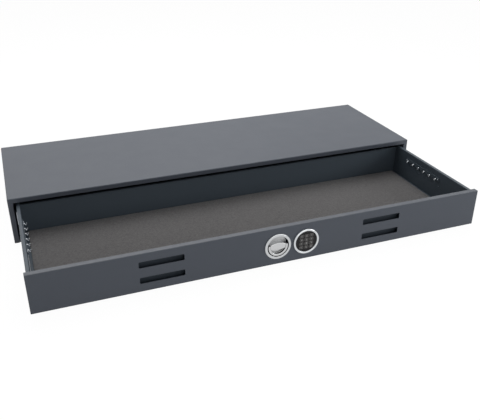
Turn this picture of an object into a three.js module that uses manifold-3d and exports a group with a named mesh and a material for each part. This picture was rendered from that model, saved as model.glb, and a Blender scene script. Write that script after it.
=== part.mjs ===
// Under desk drawer safe with a round turning handle and a round keypad.
// Millimetres, +Z up. The origin is the middle of the casing's underside.
// +Y runs from the front to the back, and the drawer is stored open.
import * as THREE from 'three';
import { mergeVertices } from 'three/addons/utils/BufferGeometryUtils.js';
import Module from 'manifold-3d';

// Casing
const casingWidth = 1500;
const casingDepth = 470;
const casingHeight = 161;
const casingSheet = 2.5;
const casingBend = 1.5;
const baseSheet = 3;
const backSheet = 2;
const backFlange = 12;
const anchorHoleRadius = 6;
const anchorInsetX = 120;
const anchorInsetY = 60;

// Front frame
const postFace = 16;
const topRailFace = 16;
const bottomRailFace = 14;
const frameDepth = 26;
const frameSheet = 2;
const frameBend = 1.2;

// Drawer front
const frontSideGap = 3;
const frontTopGap = 3;
const frontBottomGap = 2;
const frontDepth = 17;
const frontSheet = 2.5;
const frontEdge = 1.8;
const rimSheet = 2;
const innerPlateSheet = 1.5;
const slotLength = 134;
const slotHeight = 20;
const slotRadius = 3.5;
const slotOffsetX = 360;
const slotOffsetZ = 26;

// Drawer tray
const traySheet = 1.5;
const trayBend = 1;
const trayInset = 20;
const trayRise = 8;
const trayTopDrop = 7;
const wallFlange = 11;
const backDrop = 5;
const backTopFlange = 11;
const backGap = 3.5;
const stiffenerWidth = 60;
const stiffenerBrim = 14;
const stiffenerInset = 24;
const stiffenerShares = { front: 0.25, rear: 0.75 };
const matThickness = 4;
const matSideInset = 11;
const matEndInset = 4;

// Drawer slides
const slideThickness = 12.7;
const slideHeight = 46;
const slideEndGap = 1.25;
const travelShortfall = 2;
const railSheet = 1.5;
const innerRailSheet = 1.2;
const railClearance = 0.6;
const railLip = 2.6;
const innerRailLip = 1.2;
const bracketHeight = 52;
const bracketSheet = 2;

// Key rails
const keyRailHeight = 14;
const keyRailSheet = 2;
const keyRailLength = 206;
const keyRailMiddle = 283;
const keyRailRise = 32.5;
const hookCount = 6;
const hookWire = 1.5;
const hookReach = 9;
const hookDrop = 6;
const hookBendShares = [1 / 3, 1 / 2, 3 / 4];
const hookSteps = 10;
const hookSides = 6;
const hookTip = 4;

// Turning handle
const ringRadius = 43;
const ringBand = 8;
const ringProud = 4;
const ringEdge = 1.5;
const sleeveWall = 2;
const cupGap = 3;
const cupWall = 6.6;
const cupFloor = 2.2;
const cupRimSink = 0.6;
const cupRimRise = 5.5;
const lowerPocketDepth = 8.5;
const gripTopRise = 12;
const gripBottomDrop = 12;
const gripEndDrop = 7;
const gripBevel = 1.4;
const gripBevelSteps = 2;
const spindleRadius = 6;
const spindleFlangeRadius = 10;
const spindleFlangeDepth = 2;
const spindleHeadRadius = 8.5;
const spindleHeadDepth = 2.2;
const bushWall = 2.4;
const bushFlangeRadius = 13;
const bushFlangeDepth = 2;

// Pinion and racks
const gearModule = 1.5;
const pinionTeeth = 14;
const pinionWidth = 8;
const pressureAngle = Math.PI / 9;
const backlash = 0.3;
const rackAddendumShare = 0.8;
const dedendumShare = 1.25;
const rackWidth = 6;
const rackBack = 9.6;
const rackToothRun = 26.5;
const rackToothLead = 12;
const rackTail = 6;

// Bolt work
const boltRadius = 5;
const rodRadius = 4;
const boltLength = 60;
const boltSink = 1.5;
const boltHoleClearance = 0.6;
const collarRadius = 6.2;
const collarLength = 2.7;
const lugStart = 50;
const lugThickness = 8;
const lugHalfHeight = 6;
const rodTail = 3;
const windowClearance = 1.5;
const guideLength = 25;
const guideHalfHeight = 9;
const guideEndGap = 14;
const strikeMargin = 1.5;

// Lock cover and what it holds
const coverLeft = 84;
const coverRight = 136;
const coverFootGap = 1.2;
const coverTopDrop = 17;
const coverDepth = 33;
const coverSheet = 1.2;
const coverBend = 1;
const earWidth = 12;
const earHeight = 50;
const earHoleRadius = 2.5;
const plungerRadius = 3;
const plungerX = 32;
const plungerThrow = 6.4;
const plungerHold = 8.6;
const plungerHoleRadius = 3.5;
const lockBodyWidth = 36;
const lockBodyRiseShare = 2 / 3;
const lockBodyGap = 4;
const batteryBoxWidth = 54;
const batteryBoxFootGap = 7.8;
const batteryBoxTopGap = 8.5;
const batteryBoxDepth = 18.5;
const batteryBoxStart = 79;
const batteryCells = 4;
const batteryCellShare = 0.48;
const batteryBoxWall = 2;
const cableRadius = 1.5;
const cableHoleRadius = 4;
const cableSides = 8;
const cableSteps = 24;
const cablePlugShare = 0.6;
const cableTopGap = 8.8;

// Keypad
const keypadOffsetX = 94;
const keypadRadius = 42.75;
const bezelBand = 7;
const bezelProud = 6;
const bezelEdge = 2;
const faceProud = 3.5;
const faceFloor = 0.7;
const keyWidth = 13.5;
const keyHeight = 10.5;
const keyRadius = 2;
const keyPitchX = 16.5;
const keyPitchZ = 13;
const keyProud = 1.2;
const keyDepth = 2.4;
const keyEdge = 0.8;
const keyEdgeSteps = 1;

// Fits, overruns and roundness
const seatGap = 0.3;
const overrun = 1;
const bendSteps = 3;
const cornerSteps = 3;
const ringSides = 64;
const boreSides = 24;
const smallSides = 12;
const flankSteps = 3;

// Places worked out from the sizes above
const casingHalf = casingWidth / 2;
const casingFront = -casingDepth / 2;
const openingHalf = casingHalf - postFace;
const frontHalf = openingHalf - frontSideGap;
const frontBottom = bottomRailFace + frontBottomGap;
const frontTop = casingHeight - topRailFace - frontTopGap;
const lockHeight = (frontBottom + frontTop) / 2;
const trayHalf = openingHalf - trayInset;
const trayBottom = frontBottom + trayRise;
const trayTop = frontTop - trayTopDrop;
const backTop = trayTop - backDrop;
const trayBack = casingDepth - backSheet - backGap;
const slideStart = frontDepth + slideEndGap;
const slideEnd = trayBack - slideEndGap;
const slideTravel = slideEnd - slideStart - travelShortfall;
const slideMiddle = (trayBottom + trayTop) / 2;
const slideOuterFace = trayHalf + traySheet + seatGap + slideThickness;
const hollowBack = frontDepth - innerPlateSheet;
const boltDepth = (frontSheet + hollowBack) / 2;
const pitchRadius = gearModule * pinionTeeth / 2;
const boltThrow = pitchRadius * Math.PI / 2;
const boltTip = frontHalf - boltSink;
const lugEnd = lugStart + lugThickness;
const bushStart = hollowBack - seatGap;
const pinionStart = frontDepth + seatGap + bushFlangeDepth + seatGap;
const pinionEnd = pinionStart + pinionWidth;
const rackStart = pinionStart + (pinionWidth - rackWidth) / 2;
const rackEnd = rackStart + rackWidth;
const matBottom = trayBottom + traySheet + seatGap;
const matTop = matBottom + matThickness;
const coverBack = frontDepth + seatGap + coverDepth;
const coverBottom = matTop + coverFootGap;
const coverTop = trayTop - coverTopDrop;
const cableHeight = coverTop - coverSheet - cableTopGap;
const rackRoot = lockHeight + pitchRadius + dedendumShare * gearModule;
const plungerHeight = rackRoot + rackBack / 2;
const plungerLength = plungerThrow + plungerHold;

// Materials
const paint = new THREE.MeshStandardMaterial({ color: 0x4b4f57, roughness: 0.5, metalness: 0.3 });
const innerPaint = new THREE.MeshStandardMaterial({ color: 0x3d4850, roughness: 0.55, metalness: 0.3 });
const zincSteel = new THREE.MeshStandardMaterial({ color: 0xb4b8bb, roughness: 0.35, metalness: 0.9 });
const satinChrome = new THREE.MeshStandardMaterial({ color: 0xc9ccce, roughness: 0.22, metalness: 1 });
const brassMetal = new THREE.MeshStandardMaterial({ color: 0xb08d4a, roughness: 0.35, metalness: 0.9 });
const blackPlastic = new THREE.MeshStandardMaterial({ color: 0x141416, roughness: 0.35, metalness: 0 });
const keyRubber = new THREE.MeshStandardMaterial({ color: 0x1d1d20, roughness: 0.7, metalness: 0 });
const matFelt = new THREE.MeshStandardMaterial({ color: 0x5d5a5a, roughness: 1, metalness: 0 });

const wasm = await Module();
wasm.setup();

// A closed solid from a closed geometry, with flat triangles dropped
function toSolid(geometry) {
  const bare = geometry.index ? geometry.toNonIndexed() : geometry.clone();
  bare.deleteAttribute('normal');
  bare.deleteAttribute('uv');
  const merged = mergeVertices(bare);
  const kept = [];
  for (let corner = 0; corner < merged.index.count; corner += 3) {
    const [a, b, c] = [0, 1, 2].map((step) => merged.index.getX(corner + step));
    if (a !== b && b !== c && c !== a) kept.push(a, b, c);
  }
  const vertProperties = new Float32Array(merged.attributes.position.array);
  const triVerts = new Uint32Array(kept);
  return new wasm.Manifold(new wasm.Mesh({ numProp: 3, vertProperties, triVerts }));
}

function toGeometry(solid) {
  const result = solid.getMesh();
  const geometry = new THREE.BufferGeometry();
  geometry.setAttribute('position', new THREE.BufferAttribute(new Float32Array(result.vertProperties), 3));
  geometry.setIndex([...result.triVerts]);
  geometry.computeVertexNormals();
  return geometry;
}

function joined(...geometries) {
  const [first, ...rest] = geometries.map(toSolid);
  return toGeometry(rest.reduce((sum, next) => sum.add(next), first));
}

function cut(geometry, ...tools) {
  return toGeometry(tools.map(toSolid).reduce((left, tool) => left.subtract(tool), toSolid(geometry)));
}

function shared(first, second) {
  return toGeometry(toSolid(first).intersect(toSolid(second)));
}

// The same geometry on the other side of the middle plane
function mirrored(geometry) {
  const copy = toGeometry(toSolid(geometry)).scale(-1, 1, 1);
  const index = copy.index.array;
  for (let corner = 0; corner < index.length; corner += 3) {
    [index[corner], index[corner + 1]] = [index[corner + 1], index[corner]];
  }
  copy.computeVertexNormals();
  return copy;
}

// A half turn about the handle's axis
function halfTurned(geometry) {
  const copy = geometry.clone().translate(0, 0, -lockHeight);
  return copy.rotateY(Math.PI).translate(0, 0, lockHeight);
}

function box([x0, x1], [y0, y1], [z0, z1]) {
  const block = new THREE.BoxGeometry(x1 - x0, y1 - y0, z1 - z0);
  return block.translate((x0 + x1) / 2, (y0 + y1) / 2, (z0 + z1) / 2);
}

// An outline swept straight along an axis. It is drawn in (y, z) for x, in (x, z) for y and in (x, y) for z.
function prism(axis, points, from, to, bevel = {}) {
  const shape = new THREE.Shape(points.map(([a, b]) => new THREE.Vector2(a, b)));
  const sweep = new THREE.ExtrudeGeometry(shape, { depth: to - from, bevelEnabled: false, ...bevel });
  const turn = new THREE.Matrix4();
  const [x, y, z] = [[1, 0, 0], [0, 1, 0], [0, 0, 1]].map((unit) => new THREE.Vector3(...unit));
  if (axis === 'x') turn.makeBasis(y, z, x).setPosition(from, 0, 0);
  if (axis === 'y') turn.makeBasis(x, z, y.negate()).setPosition(0, to, 0);
  if (axis === 'z') turn.setPosition(0, 0, from);
  return sweep.applyMatrix4(turn);
}

function arc(centreA, centreB, radius, start, end, steps) {
  return Array.from({ length: steps + 1 }, (_, step) => {
    const angle = start + (end - start) * step / steps;
    return [centreA + radius * Math.cos(angle), centreB + radius * Math.sin(angle)];
  });
}

function circle(centreA, centreB, radius, sides) {
  return arc(centreA, centreB, radius, 0, 2 * Math.PI * (sides - 1) / sides, sides - 1);
}

function roundBar(axis, [centreA, centreB], radius, from, to, sides = boreSides) {
  return prism(axis, circle(centreA, centreB, radius, sides), from, to);
}

function roundedRect(centreA, centreB, halfA, halfB, radius) {
  const corners = [[1, 1], [-1, 1], [-1, -1], [1, -1]];
  return corners.flatMap(([sideA, sideB], quarter) => {
    const start = quarter * Math.PI / 2;
    const a = centreA + sideA * (halfA - radius);
    const b = centreB + sideB * (halfB - radius);
    return arc(a, b, radius, start, start + Math.PI / 2, cornerSteps);
  });
}

// The section of a folded sheet whose one face follows the path and whose thickness lies to its left
function foldedSheet(path, thickness, insideRadius) {
  const face = [];
  const heading = path.slice(1).map(([a, b], leg) => Math.atan2(b - path[leg][1], a - path[leg][0]));
  const normal = (angle) => [-Math.sin(angle), Math.cos(angle)];
  face.push([path[0], normal(heading[0])]);
  for (let fold = 1; fold < path.length - 1; fold += 1) {
    const [before, after] = [heading[fold - 1], heading[fold]];
    const turn = Math.atan2(Math.sin(after - before), Math.cos(after - before));
    const side = Math.sign(turn);
    const radius = side > 0 ? insideRadius + thickness : insideRadius;
    const [first, last] = [normal(before), normal(before + turn)];
    const scale = side * radius / (1 + first[0] * last[0] + first[1] * last[1]);
    const centreA = path[fold][0] + (first[0] + last[0]) * scale;
    const centreB = path[fold][1] + (first[1] + last[1]) * scale;
    for (let step = 0; step <= bendSteps; step += 1) {
      const out = normal(before + turn * step / bendSteps);
      face.push([[centreA - side * radius * out[0], centreB - side * radius * out[1]], out]);
    }
  }
  face.push([path[path.length - 1], normal(heading[heading.length - 1])]);
  const other = face.map(([[a, b], [outA, outB]]) => [a + thickness * outA, b + thickness * outB]);
  return [...face.map(([point]) => point), ...other.reverse()];
}

// A block whose front edges are rounded, all round a face that looks along -Y
function roundedFrontBlock([x0, x1], [y0, y1], [z0, z1], radius) {
  const outline = (low, high) => [
    [high, y1], [low, y1],
    ...arc(low + radius, y0 + radius, radius, Math.PI, Math.PI * 1.5, bendSteps),
    ...arc(high - radius, y0 + radius, radius, Math.PI * 1.5, Math.PI * 2, bendSteps),
  ];
  const flipped = outline(z0, z1).map(([a, b]) => [b, a]).reverse();
  return shared(prism('z', outline(x0, x1), z0, z1), prism('x', flipped, x0, x1));
}

// A folded pan that is open at the back
function pan([x0, x1], [y0, y1], [z0, z1], sheet, bend) {
  const outside = roundedFrontBlock([x0, x1], [y0, y1], [z0, z1], bend + sheet);
  const inside = roundedFrontBlock(
    [x0 + sheet, x1 - sheet], [y0 + sheet, y1 + overrun], [z0 + sheet, z1 - sheet], bend);
  return cut(outside, inside);
}

// A turned piece about the handle's axis or the keypad's, with its profile as (radius, y)
function turned(profile, centreX, sides = ringSides) {
  const points = profile.map(([radius, y]) => new THREE.Vector2(radius, y));
  return new THREE.LatheGeometry(points, sides).translate(centreX, 0, lockHeight);
}

function piece(name, geometry, material) {
  const solid = new THREE.Mesh(toGeometry(toSolid(geometry)), material);
  solid.name = name;
  return solid;
}

function pair(name, geometry, material) {
  return [piece(`right_${name}`, geometry, material), piece(`left_${name}`, mirrored(geometry), material)];
}

// The casing's upright outline with its two rounded upper corners, as a solid that others are trimmed to
function casingArch(inset, radius) {
  const [half, top] = [casingHalf - inset, casingHeight - inset];
  return prism('y', [
    [half, 0],
    ...arc(half - radius, top - radius, radius, 0, Math.PI / 2, bendSteps),
    ...arc(radius - half, top - radius, radius, Math.PI / 2, Math.PI, bendSteps),
    [-half, 0],
  ], casingFront, -casingFront);
}

// Casing shell: top and sides from one folded sheet
function casingWrap() {
  const section = foldedSheet(
    [[casingHalf, 0], [casingHalf, casingHeight], [-casingHalf, casingHeight], [-casingHalf, 0]],
    casingSheet, casingBend);
  return prism('y', section, casingFront + casingSheet + seatGap, -casingFront);
}

// The plate round the drawer's mouth, welded to the front of the folded sheet, with eased edges
function casingFrontFrame() {
  const plate = roundedFrontBlock(
    [-casingHalf, casingHalf], [casingFront, casingFront + casingSheet], [-casingHeight, casingHeight],
    frontEdge);
  const mouth = box(
    [-openingHalf, openingHalf], [casingFront - overrun, casingFront + casingSheet + overrun],
    [-casingHeight - overrun, casingHeight - topRailFace]);
  return cut(shared(plate, casingArch(0, casingSheet + casingBend)), mouth);
}

function casingBase() {
  const half = casingHalf - casingSheet - seatGap;
  const innerFront = casingFront + casingSheet + seatGap;
  const plate = box([-half, half], [innerFront, -casingFront - backSheet - seatGap], [0, baseSheet]);
  const upstand = foldedSheet([
    [innerFront + frameDepth, 0],
    [casingFront, 0],
    [casingFront, bottomRailFace],
  ].reverse(), baseSheet, casingBend);
  const lip = prism('x', upstand, seatGap - openingHalf, openingHalf - seatGap);
  const anchors = [-1, 1].flatMap((sideX) => [-1, 1].map((sideY) => {
    const x = sideX * (casingHalf - anchorInsetX);
    const y = sideY * (casingDepth / 2 - anchorInsetY);
    return roundBar('z', [x, y], anchorHoleRadius, -overrun, baseSheet + overrun);
  }));
  return cut(joined(plate, lip), ...anchors);
}

function casingBack() {
  const half = casingHalf - casingSheet - seatGap;
  const [bottom, top] = [baseSheet + seatGap, casingHeight - casingSheet - seatGap];
  const outside = box([-half, half], [-casingFront - backFlange, -casingFront], [bottom, top]);
  const inside = box(
    [backSheet - half, half - backSheet], [-casingFront - backFlange - overrun, -casingFront - backSheet],
    [bottom - overrun, top - backSheet]);
  return shared(cut(outside, inside), casingArch(casingSheet + seatGap, casingBend));
}

function topRail() {
  const [front, back] = [casingFront + casingSheet + seatGap, casingFront + frameDepth];
  const bottom = casingHeight - topRailFace;
  const top = casingHeight - casingSheet - seatGap;
  const section = foldedSheet([[front, bottom], [back, bottom], [back, top]], frameSheet, frameBend);
  return prism('x', section, seatGap - openingHalf, openingHalf - seatGap);
}

function bottomRail() {
  const [front, back] = [casingFront + baseSheet + seatGap, casingFront + frameDepth];
  const section = foldedSheet(
    [[back, baseSheet + seatGap], [back, bottomRailFace], [front, bottomRailFace]], frameSheet, frameBend);
  return prism('x', section, seatGap - openingHalf, openingHalf - seatGap);
}

// A channel beside the opening, with the window that the bolt is thrown into
function rightPost() {
  const [front, back] = [casingFront + casingSheet + seatGap, casingFront + frameDepth];
  const outer = casingHalf - casingSheet - seatGap;
  const section = foldedSheet([[outer, back], [openingHalf, back], [openingHalf, front]], frameSheet, frameBend);
  const channel = prism('z', section, baseSheet + seatGap, casingHeight - casingSheet - seatGap);
  const reach = boltRadius + strikeMargin;
  const window = box(
    [openingHalf - overrun, openingHalf + frameSheet + overrun],
    [front - overrun, casingFront + boltDepth + reach],
    [lockHeight - reach, lockHeight + reach]);
  return shared(cut(channel, window), casingArch(casingSheet + seatGap, casingBend));
}

function rightSlideBracket() {
  const outer = casingHalf - casingSheet - seatGap;
  const inner = slideOuterFace + seatGap;
  const [low, high] = [slideMiddle - bracketHeight / 2, slideMiddle + bracketHeight / 2];
  const section = foldedSheet([[outer, high], [inner, high], [inner, low], [outer, low]], bracketSheet, frameBend);
  const [front, back] = [casingFront + frameDepth + seatGap, -casingFront - backFlange - seatGap];
  return prism('y', section, front, back);
}

// Slide members, drawn by their depth from the slide's outer face and their height from its middle
function slideMember(outline, from, to) {
  const points = outline.map(([depth, rise]) => [slideOuterFace - depth, slideMiddle + rise]);
  return prism('y', points, from, to);
}

const outerLipStart = slideThickness - railSheet - railClearance - railSheet;
const middleHalf = slideHeight / 2 - railSheet - railClearance;
const middleStart = railSheet + railClearance;
const middleEnd = outerLipStart - railClearance;
const innerLipHalf = middleHalf - innerRailSheet - railClearance;
const innerWallHalf = innerLipHalf - innerRailLip;

function outerMember() {
  const half = slideHeight / 2;
  const lipHalf = half - railSheet - railLip;
  const lipEnd = outerLipStart + railSheet;
  const upper = [
    [railSheet, half - railSheet], [outerLipStart, half - railSheet], [outerLipStart, lipHalf],
    [lipEnd, lipHalf], [lipEnd, half], [0, half],
  ];
  const lower = upper.map(([depth, rise]) => [depth, -rise]).reverse();
  return slideMember([...upper, ...lower], casingFront + slideStart, casingFront + slideEnd);
}

function middleMember() {
  const sheet = innerRailSheet;
  const lipHalf = innerWallHalf + railClearance;
  const upper = [
    [middleStart + sheet, middleHalf - sheet], [middleEnd - sheet, middleHalf - sheet],
    [middleEnd - sheet, lipHalf], [middleEnd, lipHalf], [middleEnd, middleHalf], [middleStart, middleHalf],
  ];
  const lower = upper.map(([depth, rise]) => [depth, -rise]).reverse();
  return slideMember([...upper, ...lower], slideStart, slideEnd);
}

function innerMember() {
  const sheet = innerRailSheet;
  const lipStart = middleStart + sheet + railClearance;
  const upper = [
    [slideThickness - sheet, innerWallHalf - sheet], [lipStart, innerWallHalf - sheet],
    [lipStart, innerLipHalf], [lipStart + sheet, innerLipHalf], [lipStart + sheet, innerWallHalf],
    [slideThickness, innerWallHalf],
  ];
  const lower = upper.map(([depth, rise]) => [depth, -rise]).reverse();
  return slideMember([...upper, ...lower], slideStart, slideEnd);
}

// Drawer front: a plate with four slots, the handle's hole and the cable's hole
function frontSkin() {
  const skin = roundedFrontBlock([-frontHalf, frontHalf], [0, frontSheet], [frontBottom, frontTop], frontEdge);
  const through = [-overrun, frontSheet + overrun];
  const slots = [-1, 1].flatMap((sideX) => [-1, 1].map((sideZ) => {
    const [x, z] = [sideX * slotOffsetX, lockHeight + sideZ * slotOffsetZ];
    return prism('y', roundedRect(x, z, slotLength / 2, slotHeight / 2, slotRadius), ...through);
  }));
  const sleeveRadius = ringRadius - ringBand + sleeveWall;
  const handleHole = roundBar('y', [0, lockHeight], sleeveRadius + seatGap, ...through, ringSides);
  const cableHole = roundBar('y', [keypadOffsetX, cableHeight], cableHoleRadius, ...through);
  return cut(skin, ...slots, handleHole, cableHole);
}

// The rim behind the plate, from a folded strip, with a hole for the bolt at each end
function frontRim() {
  const depth = [frontSheet + seatGap, frontDepth];
  const outside = box([-frontHalf, frontHalf], depth, [frontBottom, frontTop]);
  const inside = box(
    [rimSheet - frontHalf, frontHalf - rimSheet], [0, frontDepth + overrun],
    [frontBottom + rimSheet, frontTop - rimSheet]);
  const boltHole = roundBar('x', [boltDepth, lockHeight], boltRadius + boltHoleClearance,
    -frontHalf - overrun, frontHalf + overrun);
  return cut(outside, inside, boltHole);
}

function lugWindow() {
  const height = lugHalfHeight + windowClearance;
  return box(
    [lugStart - windowClearance, lugEnd + boltThrow + windowClearance],
    [hollowBack - overrun, frontDepth + overrun], [lockHeight - height, lockHeight + height]);
}

function frontInnerPlate() {
  const inset = rimSheet + seatGap;
  const plate = box(
    [inset - frontHalf, frontHalf - inset], [hollowBack, frontDepth], [frontBottom + inset, frontTop - inset]);
  const through = [hollowBack - overrun, frontDepth + overrun];
  const bushHole = roundBar('y', [0, lockHeight], spindleRadius + bushWall + 2 * seatGap, ...through);
  const cableHole = roundBar('y', [keypadOffsetX, cableHeight], cableHoleRadius, ...through);
  return cut(plate, lugWindow(), halfTurned(lugWindow()), bushHole, cableHole);
}

function rightRodGuide() {
  const end = frontHalf - guideEndGap;
  const block = box(
    [end - guideLength, end], [frontSheet + seatGap, hollowBack - seatGap],
    [lockHeight - guideHalfHeight, lockHeight + guideHalfHeight]);
  const bore = roundBar('x', [boltDepth, lockHeight], boltRadius + seatGap,
    end - guideLength - overrun, end + overrun);
  return cut(block, bore);
}

// Tray walls, back and floor
function rightWall() {
  const section = foldedSheet([
    [trayHalf + wallFlange, trayTop], [trayHalf, trayTop], [trayHalf, trayBottom],
  ], traySheet, trayBend);
  return prism('y', section, frontDepth + seatGap, trayBack);
}

function trayBackPlate() {
  const section = foldedSheet([
    [trayBack, trayBottom + traySheet + seatGap], [trayBack, backTop], [trayBack - backTopFlange, backTop],
  ], traySheet, trayBend);
  return prism('x', section, seatGap - trayHalf, trayHalf - seatGap);
}

function trayFloor() {
  return box(
    [seatGap - trayHalf, trayHalf - seatGap], [frontDepth + seatGap, trayBack],
    [trayBottom, trayBottom + traySheet]);
}

function floorStiffener(share) {
  const middle = frontDepth + (trayBack - frontDepth) * share;
  const [low, high] = [frontBottom + seatGap + traySheet, trayBottom - seatGap];
  const half = stiffenerWidth / 2;
  const crown = half - stiffenerBrim;
  const section = foldedSheet([
    [middle + half, high], [middle + crown, high], [middle + crown, low],
    [middle - crown, low], [middle - crown, high], [middle - half, high],
  ], traySheet, trayBend);
  return prism('x', section, stiffenerInset - trayHalf, trayHalf - stiffenerInset);
}

function floorMat() {
  const half = trayHalf - matSideInset;
  return box(
    [-half, half], [frontDepth + matEndInset, trayBack - traySheet - matEndInset], [matBottom, matTop]);
}

// A flat strip on the tray's wall with a row of bent wire hooks
function rightKeyRail() {
  const face = trayHalf - seatGap - keyRailSheet;
  const top = slideMiddle + keyRailRise;
  const [from, to] = [keyRailMiddle - keyRailLength / 2, keyRailMiddle + keyRailLength / 2];
  const strip = box([face, trayHalf - seatGap], [from, to], [top - keyRailHeight, top]);
  const eye = circle(0, 0, hookWire, hookSides).map(([a, b]) => new THREE.Vector2(a, b));
  const hooks = Array.from({ length: hookCount }, (_, hook) => {
    const y = from + keyRailLength * (hook + 1 / 2) / hookCount;
    const height = top - keyRailHeight / 2;
    const [out, down, low] = hookBendShares.map((share) => face - hookReach * share);
    const middle = height - hookDrop / 2;
    const bend = new THREE.CatmullRomCurve3([
      new THREE.Vector3(face + keyRailSheet / 2, y, height),
      new THREE.Vector3(out, y, height),
      new THREE.Vector3(down, y, middle),
      new THREE.Vector3(low, y, height - hookDrop),
      new THREE.Vector3(face - hookReach, y, middle),
      new THREE.Vector3(face - hookReach, y, middle + hookTip),
    ]);
    return new THREE.ExtrudeGeometry(new THREE.Shape(eye), { steps: hookSteps, extrudePath: bend });
  });
  return joined(strip, ...hooks);
}

// Handle: a fixed ring with a sleeve, and a cup with a barrel-shaped grip that turns in it.
// The cup's rim is left out above the grip, where the pocket for the fingers is deepest.
function handleRing() {
  const inner = ringRadius - ringBand;
  const sleeve = inner + sleeveWall;
  const back = hollowBack - frontSheet;
  return turned([
    [inner, back], [sleeve, back], [sleeve, -seatGap], [ringRadius, -seatGap],
    ...arc(ringRadius - ringEdge, ringEdge - ringProud, ringEdge, 0, -Math.PI / 2, bendSteps),
    ...arc(inner + ringEdge, ringEdge - ringProud, ringEdge, -Math.PI / 2, -Math.PI, bendSteps),
    [inner, back],
  ].reverse(), 0);
}

function turnHandle() {
  const outer = ringRadius - ringBand - cupGap;
  const inner = outer - cupWall;
  const [front, back] = [cupRimSink - ringProud, hollowBack - seatGap - spindleFlangeDepth - 2 * seatGap];
  const floor = back - cupFloor;
  const cup = turned([
    [0, back], [outer, back], [outer, front], [inner, front],
    [inner, front + lowerPocketDepth], [0, front + lowerPocketDepth],
  ].reverse(), 0);
  const above = [[-outer - overrun, outer + overrun], [front - overrun, floor]];
  const upperPocket = shared(
    roundBar('y', [0, lockHeight], inner, front - overrun, floor, ringSides),
    box(...above, [lockHeight, lockHeight + outer]));
  const rimGap = box(...above, [lockHeight + cupRimRise, lockHeight + outer + overrun]);
  const half = inner + cupWall / 2;
  const bow = (middle, end) => {
    const sag = middle - end;
    const radius = (half * half + sag * sag) / (2 * sag);
    const spread = Math.asin(half / radius);
    return arc(0, middle - radius, radius, Math.PI / 2 - spread, Math.PI / 2 + spread, smallSides);
  };
  const upper = bow(gripTopRise, cupRimRise);
  const lower = bow(gripBottomDrop, gripEndDrop).map(([x, z]) => [-x, -z]);
  const outline = [...upper, ...lower].map(([x, z]) => [x, z + lockHeight]);
  const bevel = { bevelEnabled: true, bevelSize: gripBevel, bevelThickness: gripBevel, bevelSegments: gripBevelSteps };
  const grip = prism('y', outline, front + gripBevel, floor, { ...bevel, bevelOffset: -gripBevel });
  const bore = roundBar('y', [0, lockHeight], half, front - overrun, back, ringSides);
  return joined(cut(cup, upperPocket, rimGap), shared(grip, bore));
}

function handleSpindle() {
  const front = hollowBack - 2 * seatGap - spindleFlangeDepth;
  const flangeEnd = front + spindleFlangeDepth;
  const headStart = pinionEnd + seatGap;
  const headEnd = headStart + spindleHeadDepth;
  return turned([
    [0, front], [spindleFlangeRadius, front], [spindleFlangeRadius, flangeEnd], [spindleRadius, flangeEnd],
    [spindleRadius, headStart], [spindleHeadRadius, headStart], [spindleHeadRadius, headEnd], [0, headEnd],
  ], 0, boreSides);
}

function spindleBush() {
  const inner = spindleRadius + seatGap;
  const outer = inner + bushWall;
  const flangeStart = frontDepth + seatGap;
  const flangeEnd = flangeStart + bushFlangeDepth;
  return turned([
    [inner, bushStart], [outer, bushStart], [outer, flangeStart], [bushFlangeRadius, flangeStart],
    [bushFlangeRadius, flangeEnd], [inner, flangeEnd], [inner, bushStart],
  ], 0, boreSides);
}

// Involute pinion with one tooth that points straight up
function drivePinion() {
  const baseRadius = pitchRadius * Math.cos(pressureAngle);
  const rootRadius = pitchRadius - dedendumShare * gearModule;
  const tipRadius = pitchRadius + gearModule;
  const involute = (angle) => Math.tan(angle) - angle;
  const halfTooth = Math.PI / (2 * pinionTeeth) - backlash / (2 * pitchRadius);
  const flank = Array.from({ length: flankSteps + 1 }, (_, step) => {
    const radius = baseRadius + (tipRadius - baseRadius) * step / flankSteps;
    return [radius, halfTooth + involute(pressureAngle) - involute(Math.acos(baseRadius / radius))];
  });
  const side = [[rootRadius, flank[0][1]], ...flank];
  const outline = Array.from({ length: pinionTeeth }, (_, tooth) => {
    const middle = Math.PI / 2 + 2 * Math.PI * tooth / pinionTeeth;
    const rising = side.map(([radius, spread]) => [radius, middle - spread]);
    const falling = side.map(([radius, spread]) => [radius, middle + spread]).reverse();
    return [...rising, ...falling];
  }).flat().map(([radius, angle]) => [radius * Math.cos(angle), lockHeight + radius * Math.sin(angle)]);
  const wheel = prism('y', outline, pinionStart, pinionEnd);
  const bore = roundBar('y', [0, lockHeight], spindleRadius + seatGap,
    pinionStart - overrun, pinionEnd + overrun);
  return cut(wheel, bore);
}

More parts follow.
